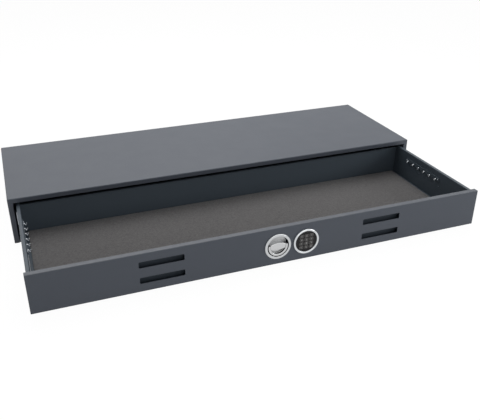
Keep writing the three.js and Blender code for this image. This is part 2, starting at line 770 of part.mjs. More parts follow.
// Upper rack with its lug, which reaches through the inner plate to the rod
function upperRack() {
  const pitch = gearModule * Math.PI;
  const pitchLine = lockHeight + pitchRadius;
  const tip = pitchLine - rackAddendumShare * gearModule;
  const top = rackRoot + rackBack;
  const halfAt = (z) => pitch / 4 - backlash / 2 - (pitchLine - z) * Math.tan(pressureAngle);
  const firstTooth = Math.floor(-rackToothRun / pitch);
  const lastTooth = Math.floor(rackToothLead / pitch);
  const teeth = [];
  for (let tooth = firstTooth; tooth <= lastTooth; tooth += 1) {
    const middle = (tooth + 1 / 2) * pitch;
    teeth.push([middle - halfAt(rackRoot), rackRoot], [middle - halfAt(tip), tip]);
    teeth.push([middle + halfAt(tip), tip], [middle + halfAt(rackRoot), rackRoot]);
  }
  const tail = firstTooth * pitch - rackTail;
  const outline = [[tail, top], [tail, rackRoot], ...teeth, [lugEnd, rackRoot], [lugEnd, top]];
  const bar = prism('y', outline, rackStart, rackEnd);
  const arm = box([lugStart, lugEnd], [frontDepth + seatGap, rackEnd], [lockHeight - lugHalfHeight, top]);
  const lug = box(
    [lugStart, lugEnd], [frontSheet + 2 * seatGap, frontDepth + overrun],
    [lockHeight - lugHalfHeight, lockHeight + lugHalfHeight]);
  const rodHole = roundBar('x', [boltDepth, lockHeight], rodRadius + seatGap, lugStart - overrun, lugEnd + overrun);
  const plungerHoles = [plungerX, plungerX - boltThrow].map((x) => roundBar(
    'y', [x, plungerHeight], plungerHoleRadius, rackStart - overrun, rackEnd + overrun));
  return cut(joined(bar, arm, lug), rodHole, ...plungerHoles);
}

function rightBoltRod() {
  const axis = [boltDepth, lockHeight];
  const collarGap = seatGap + collarLength;
  const start = lugStart - collarGap - rodTail;
  return joined(
    roundBar('x', axis, rodRadius, start, boltTip - boltLength + overrun, smallSides),
    roundBar('x', axis, collarRadius, lugStart - collarGap, lugStart - seatGap),
    roundBar('x', axis, collarRadius, lugEnd + seatGap, lugEnd + collarGap),
    roundBar('x', axis, boltRadius, boltTip - boltLength, boltTip));
}

// Lock body, its plunger, the battery box and their cover
const lockBodyFront = rackEnd + lockBodyGap;
const lockBodyBack = coverBack - coverSheet - seatGap;
const lockBodyLeft = plungerX - lockBodyWidth / 2;
const lockBodyRight = plungerX + lockBodyWidth / 2;
const lockBodyHalf = (coverTop - coverSheet - plungerHeight) * lockBodyRiseShare;
const plungerTip = rackEnd + 2 * seatGap;

function lockBody() {
  const block = box(
    [lockBodyLeft, lockBodyRight], [lockBodyFront, lockBodyBack],
    [plungerHeight - lockBodyHalf, plungerHeight + lockBodyHalf]);
  const bore = roundBar('y', [plungerX, plungerHeight], plungerRadius + seatGap,
    lockBodyFront - overrun, plungerTip + plungerLength + seatGap);
  return cut(block, bore);
}

function lockPlunger() {
  return roundBar('y', [plungerX, plungerHeight], plungerRadius,
    plungerTip, plungerTip + plungerLength, boreSides);
}

function batteryBox() {
  const [left, right] = [batteryBoxStart, batteryBoxStart + batteryBoxWidth];
  const low = coverBottom + coverSheet + batteryBoxFootGap;
  const high = cableHeight - cableRadius - batteryBoxTopGap;
  const [front, back] = [frontDepth + seatGap, frontDepth + seatGap + batteryBoxDepth];
  const block = box([left, right], [front, back], [low, high]);
  const pitch = (high - low) / batteryCells;
  const cells = Array.from({ length: batteryCells }, (_, cell) => roundBar(
    'x', [back, low + pitch * (cell + 1 / 2)], pitch * batteryCellShare,
    left + batteryBoxWall, right - batteryBoxWall, smallSides));
  return cut(block, ...cells);
}

function lockCover() {
  const [front, back] = [frontDepth + seatGap, coverBack];
  const shell = pan(
    [-coverRight, coverLeft], [-back, -front], [coverBottom, coverTop], coverSheet, coverBend);
  const turnedShell = shell.rotateZ(Math.PI);
  const middle = (coverBottom + coverTop) / 2;
  const ears = [[-coverLeft, -1], [coverRight, 1]].map(([edge, side]) => {
    const reach = [edge - side * coverSheet / 2, edge + side * earWidth].sort((a, b) => a - b);
    const ear = box(reach, [front, front + coverSheet], [middle - earHeight / 2, middle + earHeight / 2]);
    const hole = roundBar('y', [edge + side * earWidth / 2, middle], earHoleRadius,
      front - overrun, front + coverSheet + overrun, smallSides);
    return cut(ear, hole);
  });
  return joined(turnedShell, ...ears);
}

// The cable from the keypad, through both plates and over the battery box to the lock body
function lockCable() {
  const lockY = (lockBodyFront + lockBodyBack) / 2;
  const lockZ = plungerHeight + lockBodyHalf * cablePlugShare;
  const inLock = lockBodyRight + seatGap;
  const outOfPlate = frontDepth + 2 * cableHoleRadius;
  const route = new THREE.CatmullRomCurve3([
    new THREE.Vector3(keypadOffsetX, 0, cableHeight),
    new THREE.Vector3(keypadOffsetX, frontDepth, cableHeight),
    new THREE.Vector3(keypadOffsetX - cableHoleRadius, outOfPlate, cableHeight),
    new THREE.Vector3((keypadOffsetX + inLock) / 2, (outOfPlate + lockY) / 2, cableHeight),
    new THREE.Vector3(inLock + 2 * cableHoleRadius, lockY, lockZ),
    new THREE.Vector3(inLock, lockY, lockZ),
  ]);
  const section = circle(0, 0, cableRadius, cableSides).map(([a, b]) => new THREE.Vector2(a, b));
  return new THREE.ExtrudeGeometry(new THREE.Shape(section), { steps: cableSteps, extrudePath: route });
}

// Keypad: a bezel ring, a black face with pockets, and twelve keys
function keypadBezel() {
  const inner = keypadRadius - bezelBand;
  return turned([
    [inner, -seatGap], [keypadRadius, -seatGap],
    ...arc(keypadRadius - bezelEdge, bezelEdge - bezelProud, bezelEdge, 0, -Math.PI / 2, bendSteps),
    ...arc(inner + bezelEdge, bezelEdge - bezelProud, bezelEdge, -Math.PI / 2, -Math.PI, bendSteps),
    [inner, -seatGap],
  ].reverse(), keypadOffsetX);
}

const keyPlaces = [1, 0, -1, -2].flatMap((row) => [-1, 0, 1].map((column) => [
  keypadOffsetX + column * keyPitchX, lockHeight + (row + 1 / 2) * keyPitchZ,
]));

function keyOutline([x, z], margin) {
  return roundedRect(x, z, keyWidth / 2 + margin, keyHeight / 2 + margin, keyRadius + margin);
}

function keypadFace() {
  const radius = keypadRadius - bezelBand - seatGap;
  const disc = roundBar('y', [keypadOffsetX, lockHeight], radius, -faceProud, -seatGap, ringSides);
  const pockets = keyPlaces.map((place) => prism(
    'y', keyOutline(place, seatGap), -faceProud - overrun, -seatGap - faceFloor));
  return cut(disc, ...pockets);
}

function keypadKey(place) {
  const front = -faceProud - keyProud;
  const bevel = { bevelEnabled: true, bevelSize: keyEdge, bevelThickness: keyEdge, bevelSegments: keyEdgeSteps };
  const body = prism('y', keyOutline(place, 0), front + keyEdge, front + keyDepth + overrun,
    { ...bevel, bevelOffset: -keyEdge });
  const keep = box(
    [place[0] - keyWidth, place[0] + keyWidth], [front - overrun, front + keyDepth],
    [place[1] - keyHeight, place[1] + keyHeight]);
  return shared(body, keep);
}

// Assembly
const safe = new THREE.Group();
safe.add(
  piece('casing_wrap', casingWrap(), paint),
  piece('casing_front_frame', casingFrontFrame(), paint),
  piece('casing_base', casingBase(), paint),
  piece('casing_back', casingBack(), paint),
  piece('frame_top_rail', topRail(), paint),
  piece('frame_bottom_rail', bottomRail(), paint),
  ...pair('frame_post', rightPost(), paint),
  ...pair('slide_bracket', rightSlideBracket(), paint),
  ...pair('slide_outer', outerMember(), zincSteel),
);

const middleMembers = new THREE.Group();
middleMembers.position.set(0, casingFront - slideTravel / 2, 0);
middleMembers.add(...pair('slide_middle', middleMember(), zincSteel));
safe.add(middleMembers);

const drawer = new THREE.Group();
drawer.position.set(0, casingFront - slideTravel, 0);
drawer.add(
  piece('drawer_front_skin', frontSkin(), paint),
  piece('drawer_front_rim', frontRim(), paint),
  piece('drawer_front_inner', frontInnerPlate(), innerPaint),
  ...pair('drawer_wall', rightWall(), innerPaint),
  piece('drawer_back', trayBackPlate(), innerPaint),
  piece('drawer_floor', trayFloor(), innerPaint),
  piece('floor_stiffener_front', floorStiffener(stiffenerShares.front), innerPaint),
  piece('floor_stiffener_rear', floorStiffener(stiffenerShares.rear), innerPaint),
  piece('floor_mat', floorMat(), matFelt),
  ...pair('slide_inner', innerMember(), zincSteel),
  ...pair('key_rail', rightKeyRail(), zincSteel),
  ...pair('rod_guide', rightRodGuide(), blackPlastic),
  piece('handle_ring', handleRing(), satinChrome),
  piece('spindle_bush', spindleBush(), brassMetal),
  piece('keypad_bezel', keypadBezel(), satinChrome),
  piece('keypad_face', keypadFace(), blackPlastic),
  piece('lock_cover', lockCover(), innerPaint),
  piece('lock_body', lockBody(), blackPlastic),
  piece('battery_box', batteryBox(), blackPlastic),
  piece('lock_cable', lockCable(), blackPlastic),
  piece('turn_handle', turnHandle(), satinChrome),
  piece('handle_spindle', handleSpindle(), zincSteel),
  piece('drive_pinion', drivePinion(), brassMetal),
  piece('right_rack', upperRack(), zincSteel),
  piece('left_rack', halfTurned(upperRack()), zincSteel),
  piece('right_bolt', rightBoltRod(), zincSteel),
  piece('left_bolt', mirrored(rightBoltRod()), zincSteel),
  piece('lock_plunger', lockPlunger(), zincSteel),
  ...keyPlaces.map((place, key) => piece(`key_${key + 1}`, keypadKey(place), keyRubber)),
);
safe.add(drawer);

export default safe;
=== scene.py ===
"""Looks of an under desk drawer safe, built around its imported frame.

Sizes are in millimetres and in the frame's axes: +Z is up, +Y runs to the back, and the drawer stands open.
A piece becomes metres when it is placed, because Blender and the frame work in metres.
"""

import logging
import math
from abc import ABC, abstractmethod
from collections.abc import Callable, Iterable, Mapping, Sequence
from dataclasses import dataclass, field
from enum import Enum
from functools import cache
from typing import ClassVar, Protocol

import bmesh
import bpy
from mathutils import Matrix, Vector, noise


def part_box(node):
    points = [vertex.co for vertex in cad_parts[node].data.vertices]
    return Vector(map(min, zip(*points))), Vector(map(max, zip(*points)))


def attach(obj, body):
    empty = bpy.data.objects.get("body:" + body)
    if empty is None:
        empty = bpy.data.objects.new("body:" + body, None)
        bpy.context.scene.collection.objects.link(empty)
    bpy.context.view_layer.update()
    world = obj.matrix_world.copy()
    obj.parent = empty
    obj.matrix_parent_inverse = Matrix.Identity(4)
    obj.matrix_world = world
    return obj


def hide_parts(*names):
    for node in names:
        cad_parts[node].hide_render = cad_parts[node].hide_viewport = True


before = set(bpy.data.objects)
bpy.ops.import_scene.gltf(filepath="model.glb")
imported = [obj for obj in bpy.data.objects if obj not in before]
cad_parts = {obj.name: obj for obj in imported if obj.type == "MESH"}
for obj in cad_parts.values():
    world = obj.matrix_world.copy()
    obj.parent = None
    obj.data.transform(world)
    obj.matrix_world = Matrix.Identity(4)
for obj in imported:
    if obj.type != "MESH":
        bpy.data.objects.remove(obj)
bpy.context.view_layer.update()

LOG = logging.getLogger("drawer_safe")

Point = tuple[float, float]
Point3 = tuple[float, float, float]
Colour = tuple[float, float, float, float]
Object = bpy.types.Object
Socket = bpy.types.NodeSocket
Sockets = Mapping[str, Socket]
Tree = bpy.types.NodeTree

MM = 0.001
MERGE_DISTANCE = 0.002
FLAT_ANGLE = math.radians(0.6)
CORNER_ANGLE = math.radians(50)
SHARP_ANGLE = math.radians(38)
ROUND_PROFILE = 0.5
FLAT_FACE_WEIGHT = 100

# How far a cutting tool reaches past what it cuts.
OVERRUN = 1.0

# The share of a face's normal along an axis. It tells a face that leans that way, is turned aside,
# looks that way, or is flat.
LEANING = 0.2
SIDEWAYS = 0.5
FACING = 0.7
FLAT = 0.97

# What is marked on faces for the finishes to read.
# Rubbed edges, and tops that get a painted highlight the same way.
WORN_EDGE_AND_HIGHLIGHT = "worn_edge_and_highlight"
# Faces that get painted shade: in gaps and pockets, and on the hidden side of a plate.
PAINTED_SHADE = "recess"

WHITE: Colour = (1, 1, 1, 1)


class Slot(str, Enum):
    """The record's material slots."""

    SHELL = "shell_paint"
    INNER = "inner_paint"
    ZINC = "zinc_steel"
    CHROME = "satin_chrome"
    BRASS = "brass"
    PLASTIC = "black_plastic"
    RUBBER = "key_rubber"
    FELT = "felt"


class Axis(Enum):
    """The direction that an outline is swept along, or turned about."""

    X = 0
    Y = 1
    Z = 2


class Side(Enum):
    """A side of the safe, seen by someone who stands at its front."""

    RIGHT = 1
    LEFT = -1

    @property
    def word(self) -> str:
        """The side's word in the names of nodes and bodies."""
        return self.name.lower()


@dataclass(frozen=True)
class Extent:
    """The box round one or more CAD nodes at rest, in millimetres."""

    low: Vector
    high: Vector

    @classmethod
    def of(cls, *nodes: str) -> "Extent":
        """Reads the box from the frame.

        Args:
            nodes: The names of the CAD nodes to take in.

        Returns:
            The smallest box round them all.
        """
        boxes = [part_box(node) for node in nodes]
        low = Vector(min(low[axis] for low, _ in boxes) for axis in range(3))
        high = Vector(max(high[axis] for _, high in boxes) for axis in range(3))
        return cls(low / MM, high / MM)

    @property
    def middle(self) -> Vector:
        """The middle of the box."""
        return (self.low + self.high) / 2

    @property
    def size(self) -> Vector:
        """The lengths of the box's sides."""
        return self.high - self.low

    @property
    def centre(self) -> Point:
        """The middle of the box as it is seen from the front."""
        return self.middle.x, self.middle.z

    @property
    def radius(self) -> float:
        """The radius of a round piece that is seen from the front."""
        return self.size.x / 2


def arc(centre: Point, radius: float, start: float, end: float, steps: int = 8) -> list[Point]:
    """Draws a round stretch of an outline from one angle to another, in degrees, in straight steps."""
    turns = [math.radians(start + (end - start) * step / steps) for step in range(steps + 1)]
    return [(centre[0] + radius * math.cos(turn), centre[1] + radius * math.sin(turn)) for turn in turns]


def rounded_rectangle(centre: Point, half: Point, radius: float, steps: int = 6) -> list[Point]:
    """Draws a rectangle with round corners.

    Args:
        centre: The middle of the rectangle.
        half: Half its width and half its height.
        radius: The radius of its corners, down to 0.
        steps: How many straight steps a corner has.

    Returns:
        The points of the outline, anticlockwise.
    """
    points = []
    for quarter, (side_a, side_b) in enumerate([(1, 1), (-1, 1), (-1, -1), (1, -1)]):
        corner = (centre[0] + side_a * (half[0] - radius), centre[1] + side_b * (half[1] - radius))
        points += arc(corner, radius, quarter * 90, quarter * 90 + 90, steps)
    return points


def crowned_band(radii: Point, front: float, crown: float, edges: Point) -> list[Point]:
    """Draws the front of a ring, with a slight crown between its two rolled edges.

    Args:
        radii: The ring's inner and outer radius.
        front: Where the top of the crown is.
        crown: How far behind it the edges start.
        edges: The radius of the inner and the outer edge.

    Returns:
        The profile from the outside to the inside, as (radius, place along Y).
    """
    (inner, outer), (lip, edge) = radii, edges
    return [
        *arc((outer - edge, front + crown + edge), edge, 0, -90),
        ((inner + outer) / 2, front),
        *arc((inner + lip, front + crown + lip), lip, -90, -180),
    ]


def in_space(axis: Axis, point: Point, place: float) -> Point3:
    """Sets a drawn point in space, at a place along the axis that the drawing stands across."""
    return (*point[:axis.value], place, *point[axis.value:])


def next_round(items: Sequence[object]) -> list[object]:
    """Gives what follows each item of a closed loop."""
    return [*items[1:], items[0]]


def steps_between(points: Sequence[Vector]) -> list[Vector]:
    """Gives the steps from each point of a line to the next."""
    return [after - before for before, after in zip(points, points[1:])]


def smooth_route(points: Sequence[Point3], steps: int = 6) -> list[Vector]:
    """Runs a smooth line through points.

    Args:
        points: The points to pass through.
        steps: How many straight steps lie between two of them.

    Returns:
        The points of the smooth line.
    """
    given = [Vector(point) for point in points]
    ends = [2 * given[0] - given[1], *given, 2 * given[-1] - given[-2]]
    line = []
    for before, start, end, after in zip(ends, ends[1:], ends[2:], ends[3:]):
        for step in range(steps):
            t = step / steps
            line.append(0.5 * (
                2 * start + (end - before) * t
                + (2 * before - 5 * start + 4 * end - after) * t ** 2
                + (3 * start - before - 3 * end + after) * t ** 3))
    return [*line, given[-1]]


def linked(name: str, data: bpy.types.ID) -> Object:
    """Puts something in the scene.

    Args:
        name: The object's name.
        data: Its mesh, text, lamp or camera.

    Returns:
        The new object, at the origin.
    """
    made = bpy.data.objects.new(name, data)
    bpy.context.scene.collection.objects.link(made)
    return made


def evaluated(drawn: Object) -> bpy.types.Mesh:
    """Turns an object with modifiers, or a text, into a plain mesh and removes the object.

    Args:
        drawn: An object that is linked to the scene.

    Returns:
        The mesh that the object shows.
    """
    bpy.context.view_layer.update()
    depsgraph = bpy.context.evaluated_depsgraph_get()
    mesh = bpy.data.meshes.new_from_object(
        drawn.evaluated_get(depsgraph), preserve_all_data_layers=True, depsgraph=depsgraph)
    bpy.data.objects.remove(drawn)
    return mesh


class Shape:
    """A mesh in the making, in millimetres. Each method gives back a new shape."""

    def __init__(self, mesh: bpy.types.Mesh) -> None:
        """Keeps the mesh that holds the shape."""
        self.mesh = mesh

    @classmethod
    def of_bmesh(cls, bm: bmesh.types.BMesh) -> "Shape":
        """Keeps what was drawn.

        Args:
            bm: The drawing, which is freed.

        Returns:
            The shape that it holds.
        """
        mesh = bpy.data.meshes.new("drawn")
        bm.to_mesh(mesh)
        bm.free()
        return cls(mesh)

    @classmethod
    def of_loops(cls, loops: Sequence[Sequence[Point3]], ring: bool = False) -> "Shape":
        """Skins a row of closed loops.

        Args:
            loops: The loops, each with as many points as the others.
            ring: Whether the last loop meets the first. Otherwise both ends get a cap.

        Returns:
            The closed shape, with its doubled points merged.
        """
        bm = bmesh.new()
        rows = [[bm.verts.new(point) for point in loop] for loop in loops]
        pairs = list(zip(rows, rows[1:]))
        if ring:
            pairs.append((rows[-1], rows[0]))
        for lower, upper in pairs:
            for corners in zip(lower, next_round(lower), next_round(upper), upper):
                bm.faces.new(corners)
        if not ring:
            bm.faces.new(rows[0][::-1])
            bm.faces.new(rows[-1])
        bmesh.ops.remove_doubles(bm, verts=bm.verts, dist=MERGE_DISTANCE)
        bmesh.ops.recalc_face_normals(bm, faces=bm.faces)
        return cls.of_bmesh(bm)

    @classmethod
    def prism(cls, axis: Axis, outline: Sequence[Point], start: float, end: float) -> "Shape":
        """Sweeps an outline straight along an axis, from start to end."""
        return cls.of_loops([[in_space(axis, point, place) for point in outline] for place in (start, end)])

    @classmethod
    def turned(cls, axis: Axis, centre: Point, profile: Sequence[Point], sides: int = 96) -> "Shape":
        """Turns a profile about a line.

        Args:
            axis: The direction of the line.
            centre: Where the line stands in the plane across it.
            profile: The closed profile, as (radius, place along the line).
            sides: How many sides the round piece has.

        Returns:
            The closed round shape.
        """
        loops = []
        for side in range(sides):
            angle = 2 * math.pi * side / sides
            heading = (math.cos(angle), math.sin(angle))
            loops.append([
                in_space(axis, (centre[0] + radius * heading[0], centre[1] + radius * heading[1]), place)
                for radius, place in profile])
        return cls.of_loops(loops, ring=True)

    @classmethod
    def rod(cls, axis: Axis, centre: Point, radius: float, ends: Point, sides: int = 96) -> "Shape":
        """Turns a plain round rod between two ends."""
        start, end = ends
        return cls.turned(axis, centre, [(0, start), (radius, start), (radius, end), (0, end)], sides)

    @classmethod
    def tube(cls, route: Sequence[Vector], radius: float, sides: int = 12) -> "Shape":
        """Draws a round wire along a route.

        Args:
            route: The wire's middle line.
            radius: The wire's radius.
            sides: How many sides its section has.

        Returns:
            The closed wire.
        """
        runs = [step.normalized() for step in steps_between(route)]
        headings = [runs[0], *[(a + b).normalized() for a, b in zip(runs, runs[1:])], runs[-1]]
        section = arc((0, 0), radius, 0, 360 * (sides - 1) / sides, sides - 1)
        across = headings[0].orthogonal().normalized()
        loops = []
        for point, heading in zip(route, headings):
            across = (across - heading * across.dot(heading)).normalized()
            upright = heading.cross(across)
            loops.append([tuple(point + across * a + upright * b) for a, b in section])
        return cls.of_loops(loops)

    @classmethod
    def of_node(cls, node: str) -> "Shape":
        """Copies a CAD node's solid, with its points merged and its flat faces made whole.

        Args:
            node: The node's name.

        Returns:
            The solid's shape.
        """
        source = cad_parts[node].data
        mesh = bpy.data.meshes.new("drawn")
        points = [tuple(vertex.co / MM) for vertex in source.vertices]
        mesh.from_pydata(points, [], [tuple(face.vertices) for face in source.polygons])
        bm = cls(mesh).opened()
        bmesh.ops.remove_doubles(bm, verts=bm.verts, dist=MERGE_DISTANCE)
        bmesh.ops.dissolve_limit(bm, angle_limit=FLAT_ANGLE, verts=bm.verts, edges=bm.edges)
        return cls.of_bmesh(bm)

    @classmethod
    def lettering(cls, text: str, size: float, depth: float, steps: int = 3) -> "Shape":
        """Draws raised characters that stand upright and look along -Y, about the origin.

        Args:
            text: The characters.
            size: The size of the type.
            depth: How far the characters stand out.
            steps: How many straight steps a curved stroke has.

        Returns:
            The characters as one shape.
        """
        curve = bpy.data.curves.new("lettering", "FONT")
        curve.body = text
        curve.size = size
        curve.extrude = depth / 2
        curve.resolution_u = steps
        upright = cls(evaluated(linked("lettering", curve))).rotated(90, "X")
        corners = [vertex.co for vertex in upright.mesh.vertices]
        middle = [(min(c[axis] for c in corners) + max(c[axis] for c in corners)) / 2 for axis in range(3)]
        bm = upright.moved(-Vector(middle)).opened()
        bmesh.ops.remove_doubles(bm, verts=bm.verts, dist=MERGE_DISTANCE)
        return cls.of_bmesh(bm)

    def opened(self) -> bmesh.types.BMesh:
        """Opens the shape for an edit.

        Returns:
            A drawing with a copy of the shape.
        """
        bm = bmesh.new()
        bm.from_mesh(self.mesh)
        return bm

    def with_modifier(self, kind: str, **settings: object) -> "Shape":
        """Gives the shape one of Blender's modifiers and keeps the result.

        Args:
            kind: The modifier's type.
            settings: The values of its settings.

        Returns:
            The shape after the modifier.
        """
        worked = linked("worked", self.mesh)
        modifier = worked.modifiers.new("work", kind)
        for name, value in settings.items():
            setattr(modifier, name, value)
        return Shape(evaluated(worked))

    def _with_tool(self, tool: "Shape", operation: str) -> "Shape":
        """Joins or cuts the shape with a Boolean.

        Args:
            tool: Another closed shape.
            operation: DIFFERENCE or UNION.

        Returns:
            What the Boolean leaves.
        """
        held = linked("tool", tool.mesh)
        result = self.with_modifier("BOOLEAN", object=held, operation=operation, solver="EXACT")
        bpy.data.objects.remove(held)
        return result

    def cut(self, *tools: "Shape") -> "Shape":
        """Takes tools out of the shape, one after another.

        Args:
            tools: The closed shapes to take out.

        Returns:
            What is left.
        """
        left = self
        for tool in tools:
            left = left._with_tool(tool, "DIFFERENCE")
        return left

    def welded(self, other: "Shape") -> "Shape":
        """Makes one skin of this shape and another that it meets."""
        return self._with_tool(other, "UNION")

    def transformed(self, matrix: Matrix) -> "Shape":
        """Moves, turns or scales a copy of the shape.

        Args:
            matrix: What is done to it.

        Returns:
            The changed copy.
        """
        mesh = self.mesh.copy()
        mesh.transform(matrix)
        return Shape(mesh)

    def moved(self, offset: Point3) -> "Shape":
        """Moves a copy of the shape."""
        return self.transformed(Matrix.Translation(offset))

    def rotated(self, angle: float, axis: str) -> "Shape":
        """Turns a copy of the shape about the origin, by degrees."""
        return self.transformed(Matrix.Rotation(math.radians(angle), 4, axis))

    def on_side(self, side: Side) -> "Shape":
        """Gives a shape that was drawn for the right side to either side.

        Args:
            side: The side that it is for.

        Returns:
            The shape itself, or its mirror image.
        """
        if side is Side.RIGHT:
            return self
        bm = self.transformed(Matrix.Scale(-1, 4, (1, 0, 0))).opened()
        bmesh.ops.recalc_face_normals(bm, faces=bm.faces)
        return Shape.of_bmesh(bm)

    def softened(self, width: float, steps: int = 2) -> "Shape":
        """Rounds the corners between flat faces and marks them as the edges that hands rub.

        Args:
            width: How far the rounding reaches from the corner.
            steps: How many faces it has.

        Returns:
            The shape with its corners rounded.
        """
        bm = self.opened()
        rubbed = bm.faces.layers.float.get(WORN_EDGE_AND_HIGHLIGHT) or bm.faces.layers.float.new(WORN_EDGE_AND_HIGHLIGHT)
        corners = [edge for edge in bm.edges if edge.is_manifold and edge.calc_face_angle() > CORNER_ANGLE]
        made = bmesh.ops.bevel(
            bm, geom=corners, offset=width, offset_type="OFFSET", segments=steps, profile=ROUND_PROFILE,
            affect="EDGES", clamp_overlap=True)
        for face in made["faces"]:
            face[rubbed] = 1.0
        return Shape.of_bmesh(bm)

    def marked(self, name: str, value_at: Callable[[Vector, Vector], float]) -> "Shape":
        """Stores a value on every face, where it has no greater one.

        Args:
            name: The name that the finish reads.
            value_at: Gives the value for a face's middle and normal.

        Returns:
            The shape with its marked faces.
        """
        bm = self.opened()
        layer = bm.faces.layers.float.get(name) or bm.faces.layers.float.new(name)
        for face in bm.faces:
            face[layer] = max(face[layer], value_at(face.calc_center_median(), face.normal))
        return Shape.of_bmesh(bm)

    def shaded(self) -> "Shape":
        """Smooths the shading, with flat faces kept flat and knife edges kept sharp.

        Returns:
            The shape with its final normals.
        """
        bm = self.opened()
        for face in bm.faces:
            face.smooth = True
        for edge in bm.edges:
            edge.smooth = edge.is_manifold and edge.calc_face_angle() < SHARP_ANGLE
        return Shape.of_bmesh(bm).with_modifier("WEIGHTED_NORMAL", weight=FLAT_FACE_WEIGHT, keep_sharp=True)


class Wiring:
    """Adds nodes to a tree and joins them."""

    def __init__(self, tree: Tree) -> None:
        """Keeps the tree that is wired."""
        self.tree = tree

    def add(self, kind: str, values: dict[str | int, object] | None = None,
            **settings: object) -> bpy.types.Node:
        """Adds a node.

        Args:
            kind: The node's type.
            values: What each input gets, by name or number: a value, or the output that feeds it.
            settings: The values of the node's own settings.

        Returns:
            The node.
        """
        node = self.tree.nodes.new(kind)
        for name, value in settings.items():
            setattr(node, name, value)
        for key, value in (values or {}).items():
            if isinstance(value, Socket):
                self.tree.links.new(value, node.inputs[key])
            else:
                node.inputs[key].default_value = value
        return node

    def coordinates(self) -> Socket:
        """The place of a point on the piece, in metres."""
        return self.add("ShaderNodeTexCoord").outputs["Object"]

    def away_from(self, centre: object) -> Socket:
        """The place of a point on the piece, as seen from a centre in metres."""
        values = {0: self.coordinates(), 1: centre}
        return self.add("ShaderNodeVectorMath", values, operation="SUBTRACT").outputs[0]

    def stretched(self, scale: Point3, turn: Point3 = (0, 0, 0)) -> Socket:
        """The place of a point in a pattern that is denser along some axes, and turned by degrees."""
        values = {"Vector": self.coordinates(), "Rotation": [math.radians(a) for a in turn], "Scale": scale}
        return self.add("ShaderNodeMapping", values).outputs[0]

    def noise(self, place: Socket, scale: object, detail: float = 2.0) -> Socket:
        """A soft random value, about 0.5, at a place."""
        values = {"Vector": place, "Scale": scale, "Detail": detail}
        return self.add("ShaderNodeTexNoise", values).outputs[0]

    def between(self, value: object, low: float, high: float, to_low: float = 0.0,
                to_high: float = 1.0) -> Socket:
        """Stretches the values from low to high over another range, and holds the rest at its ends."""
        made = self.add("ShaderNodeMapRange", {0: value, 1: low, 2: high, 3: to_low, 4: to_high})
        return made.outputs[0]

    def math(self, operation: str, first: object, second: object = 0.0) -> Socket:
        """Works out one sum of two values."""
        return self.add("ShaderNodeMath", {0: first, 1: second}, operation=operation).outputs[0]

    def mix(self, factor: object, first: object, second: object) -> Socket:
        """Mixes two colours, from the first at 0 to the second at 1."""
        return self.add("ShaderNodeMix", {0: factor, 6: first, 7: second}, data_type="RGBA").outputs[2]

    def mixed(self, factor: Socket, first: Socket, second: Socket) -> Socket:
        """Mixes two shaders, from the first at 0 to the second at 1."""
        return self.add("ShaderNodeMixShader", {0: factor, 1: first, 2: second}).outputs[0]

    def ended(self, results: dict[str, Socket]) -> Tree:
        """Feeds the outputs of a group, by name, and gives back its tree."""
        self.add("NodeGroupOutput", results)
        return self.tree


def new_group(name: str, inputs: dict[str, str], outputs: dict[str, str],
              family: str = "Shader") -> tuple[Wiring, Sockets]:
    """Starts a node group with its sockets.

    Args:
        name: The group's name.
        inputs: Each input's type. Whoever uses the group gives every input a value.
        outputs: Each output's type.
        family: Shader or Geometry.

    Returns:
        The group's wiring, and what its inputs give.
    """
    tree = bpy.data.node_groups.new(name, f"{family}NodeTree")
    for direction, kinds in (("INPUT", inputs), ("OUTPUT", outputs)):
        for label, kind in kinds.items():
            tree.interface.new_socket(name=label, in_out=direction, socket_type=f"NodeSocket{kind}")
    wiring = Wiring(tree)
    return wiring, wiring.add("NodeGroupInput").outputs


@cache
def coat_grain() -> Tree:
    """A group for sprayed and moulded skins: slow drifts of colour, fine flecks and the grain's height.

    Returns:
        The group's tree.
    """
    wiring, given = new_group(
        "coat_grain", {"Colour": "Color", "Grain Scale": "Float", "Drift": "Float", "Fleck": "Float"},
        {"Colour": "Color", "Height": "Float"})
    place = wiring.coordinates()
    tones = [
        wiring.math("MULTIPLY", wiring.math("SUBTRACT", wiring.noise(place, scale, detail), 0.5), share)
        for share, scale, detail in ((given["Drift"], 5.0, 3.0), (given["Fleck"], 1400.0, 1.0))]
    shade = wiring.math("ADD", wiring.math("ADD", *tones), 1.0)
    toned = wiring.add("ShaderNodeHueSaturation", {"Color": given["Colour"], "Value": shade})
    return wiring.ended({"Colour": toned.outputs[0], "Height": wiring.noise(place, given["Grain Scale"])})


@cache
def handling_marks() -> Tree:
    """A group for hard finishes: a roughness with faint smudges and hairlines from wiping.

    Returns:
        The group's tree.
    """
    wiring, given = new_group(
        "handling_marks", {"Roughness": "Float", "Smudge": "Float", "Hairline": "Float"},
        {"Roughness": "Float"})
    cloud = wiring.math("SUBTRACT", wiring.noise(wiring.coordinates(), scale=14.0, detail=4.0), 0.5)
    lines = [
        wiring.between(wiring.noise(wiring.stretched(stretch, turn), scale=1.0), 0.68, 0.74)
        for stretch, turn in (((6, 900, 900), (0, 18, 24)), ((900, 7, 900), (12, 0, 31)))]
    smudged = wiring.math("MULTIPLY", cloud, given["Smudge"])
    scratched = wiring.math("MULTIPLY", wiring.math("MAXIMUM", *lines), given["Hairline"])
    marks = wiring.math("ADD", smudged, scratched)
    return wiring.ended({"Roughness": wiring.math("ADD", given["Roughness"], marks)})


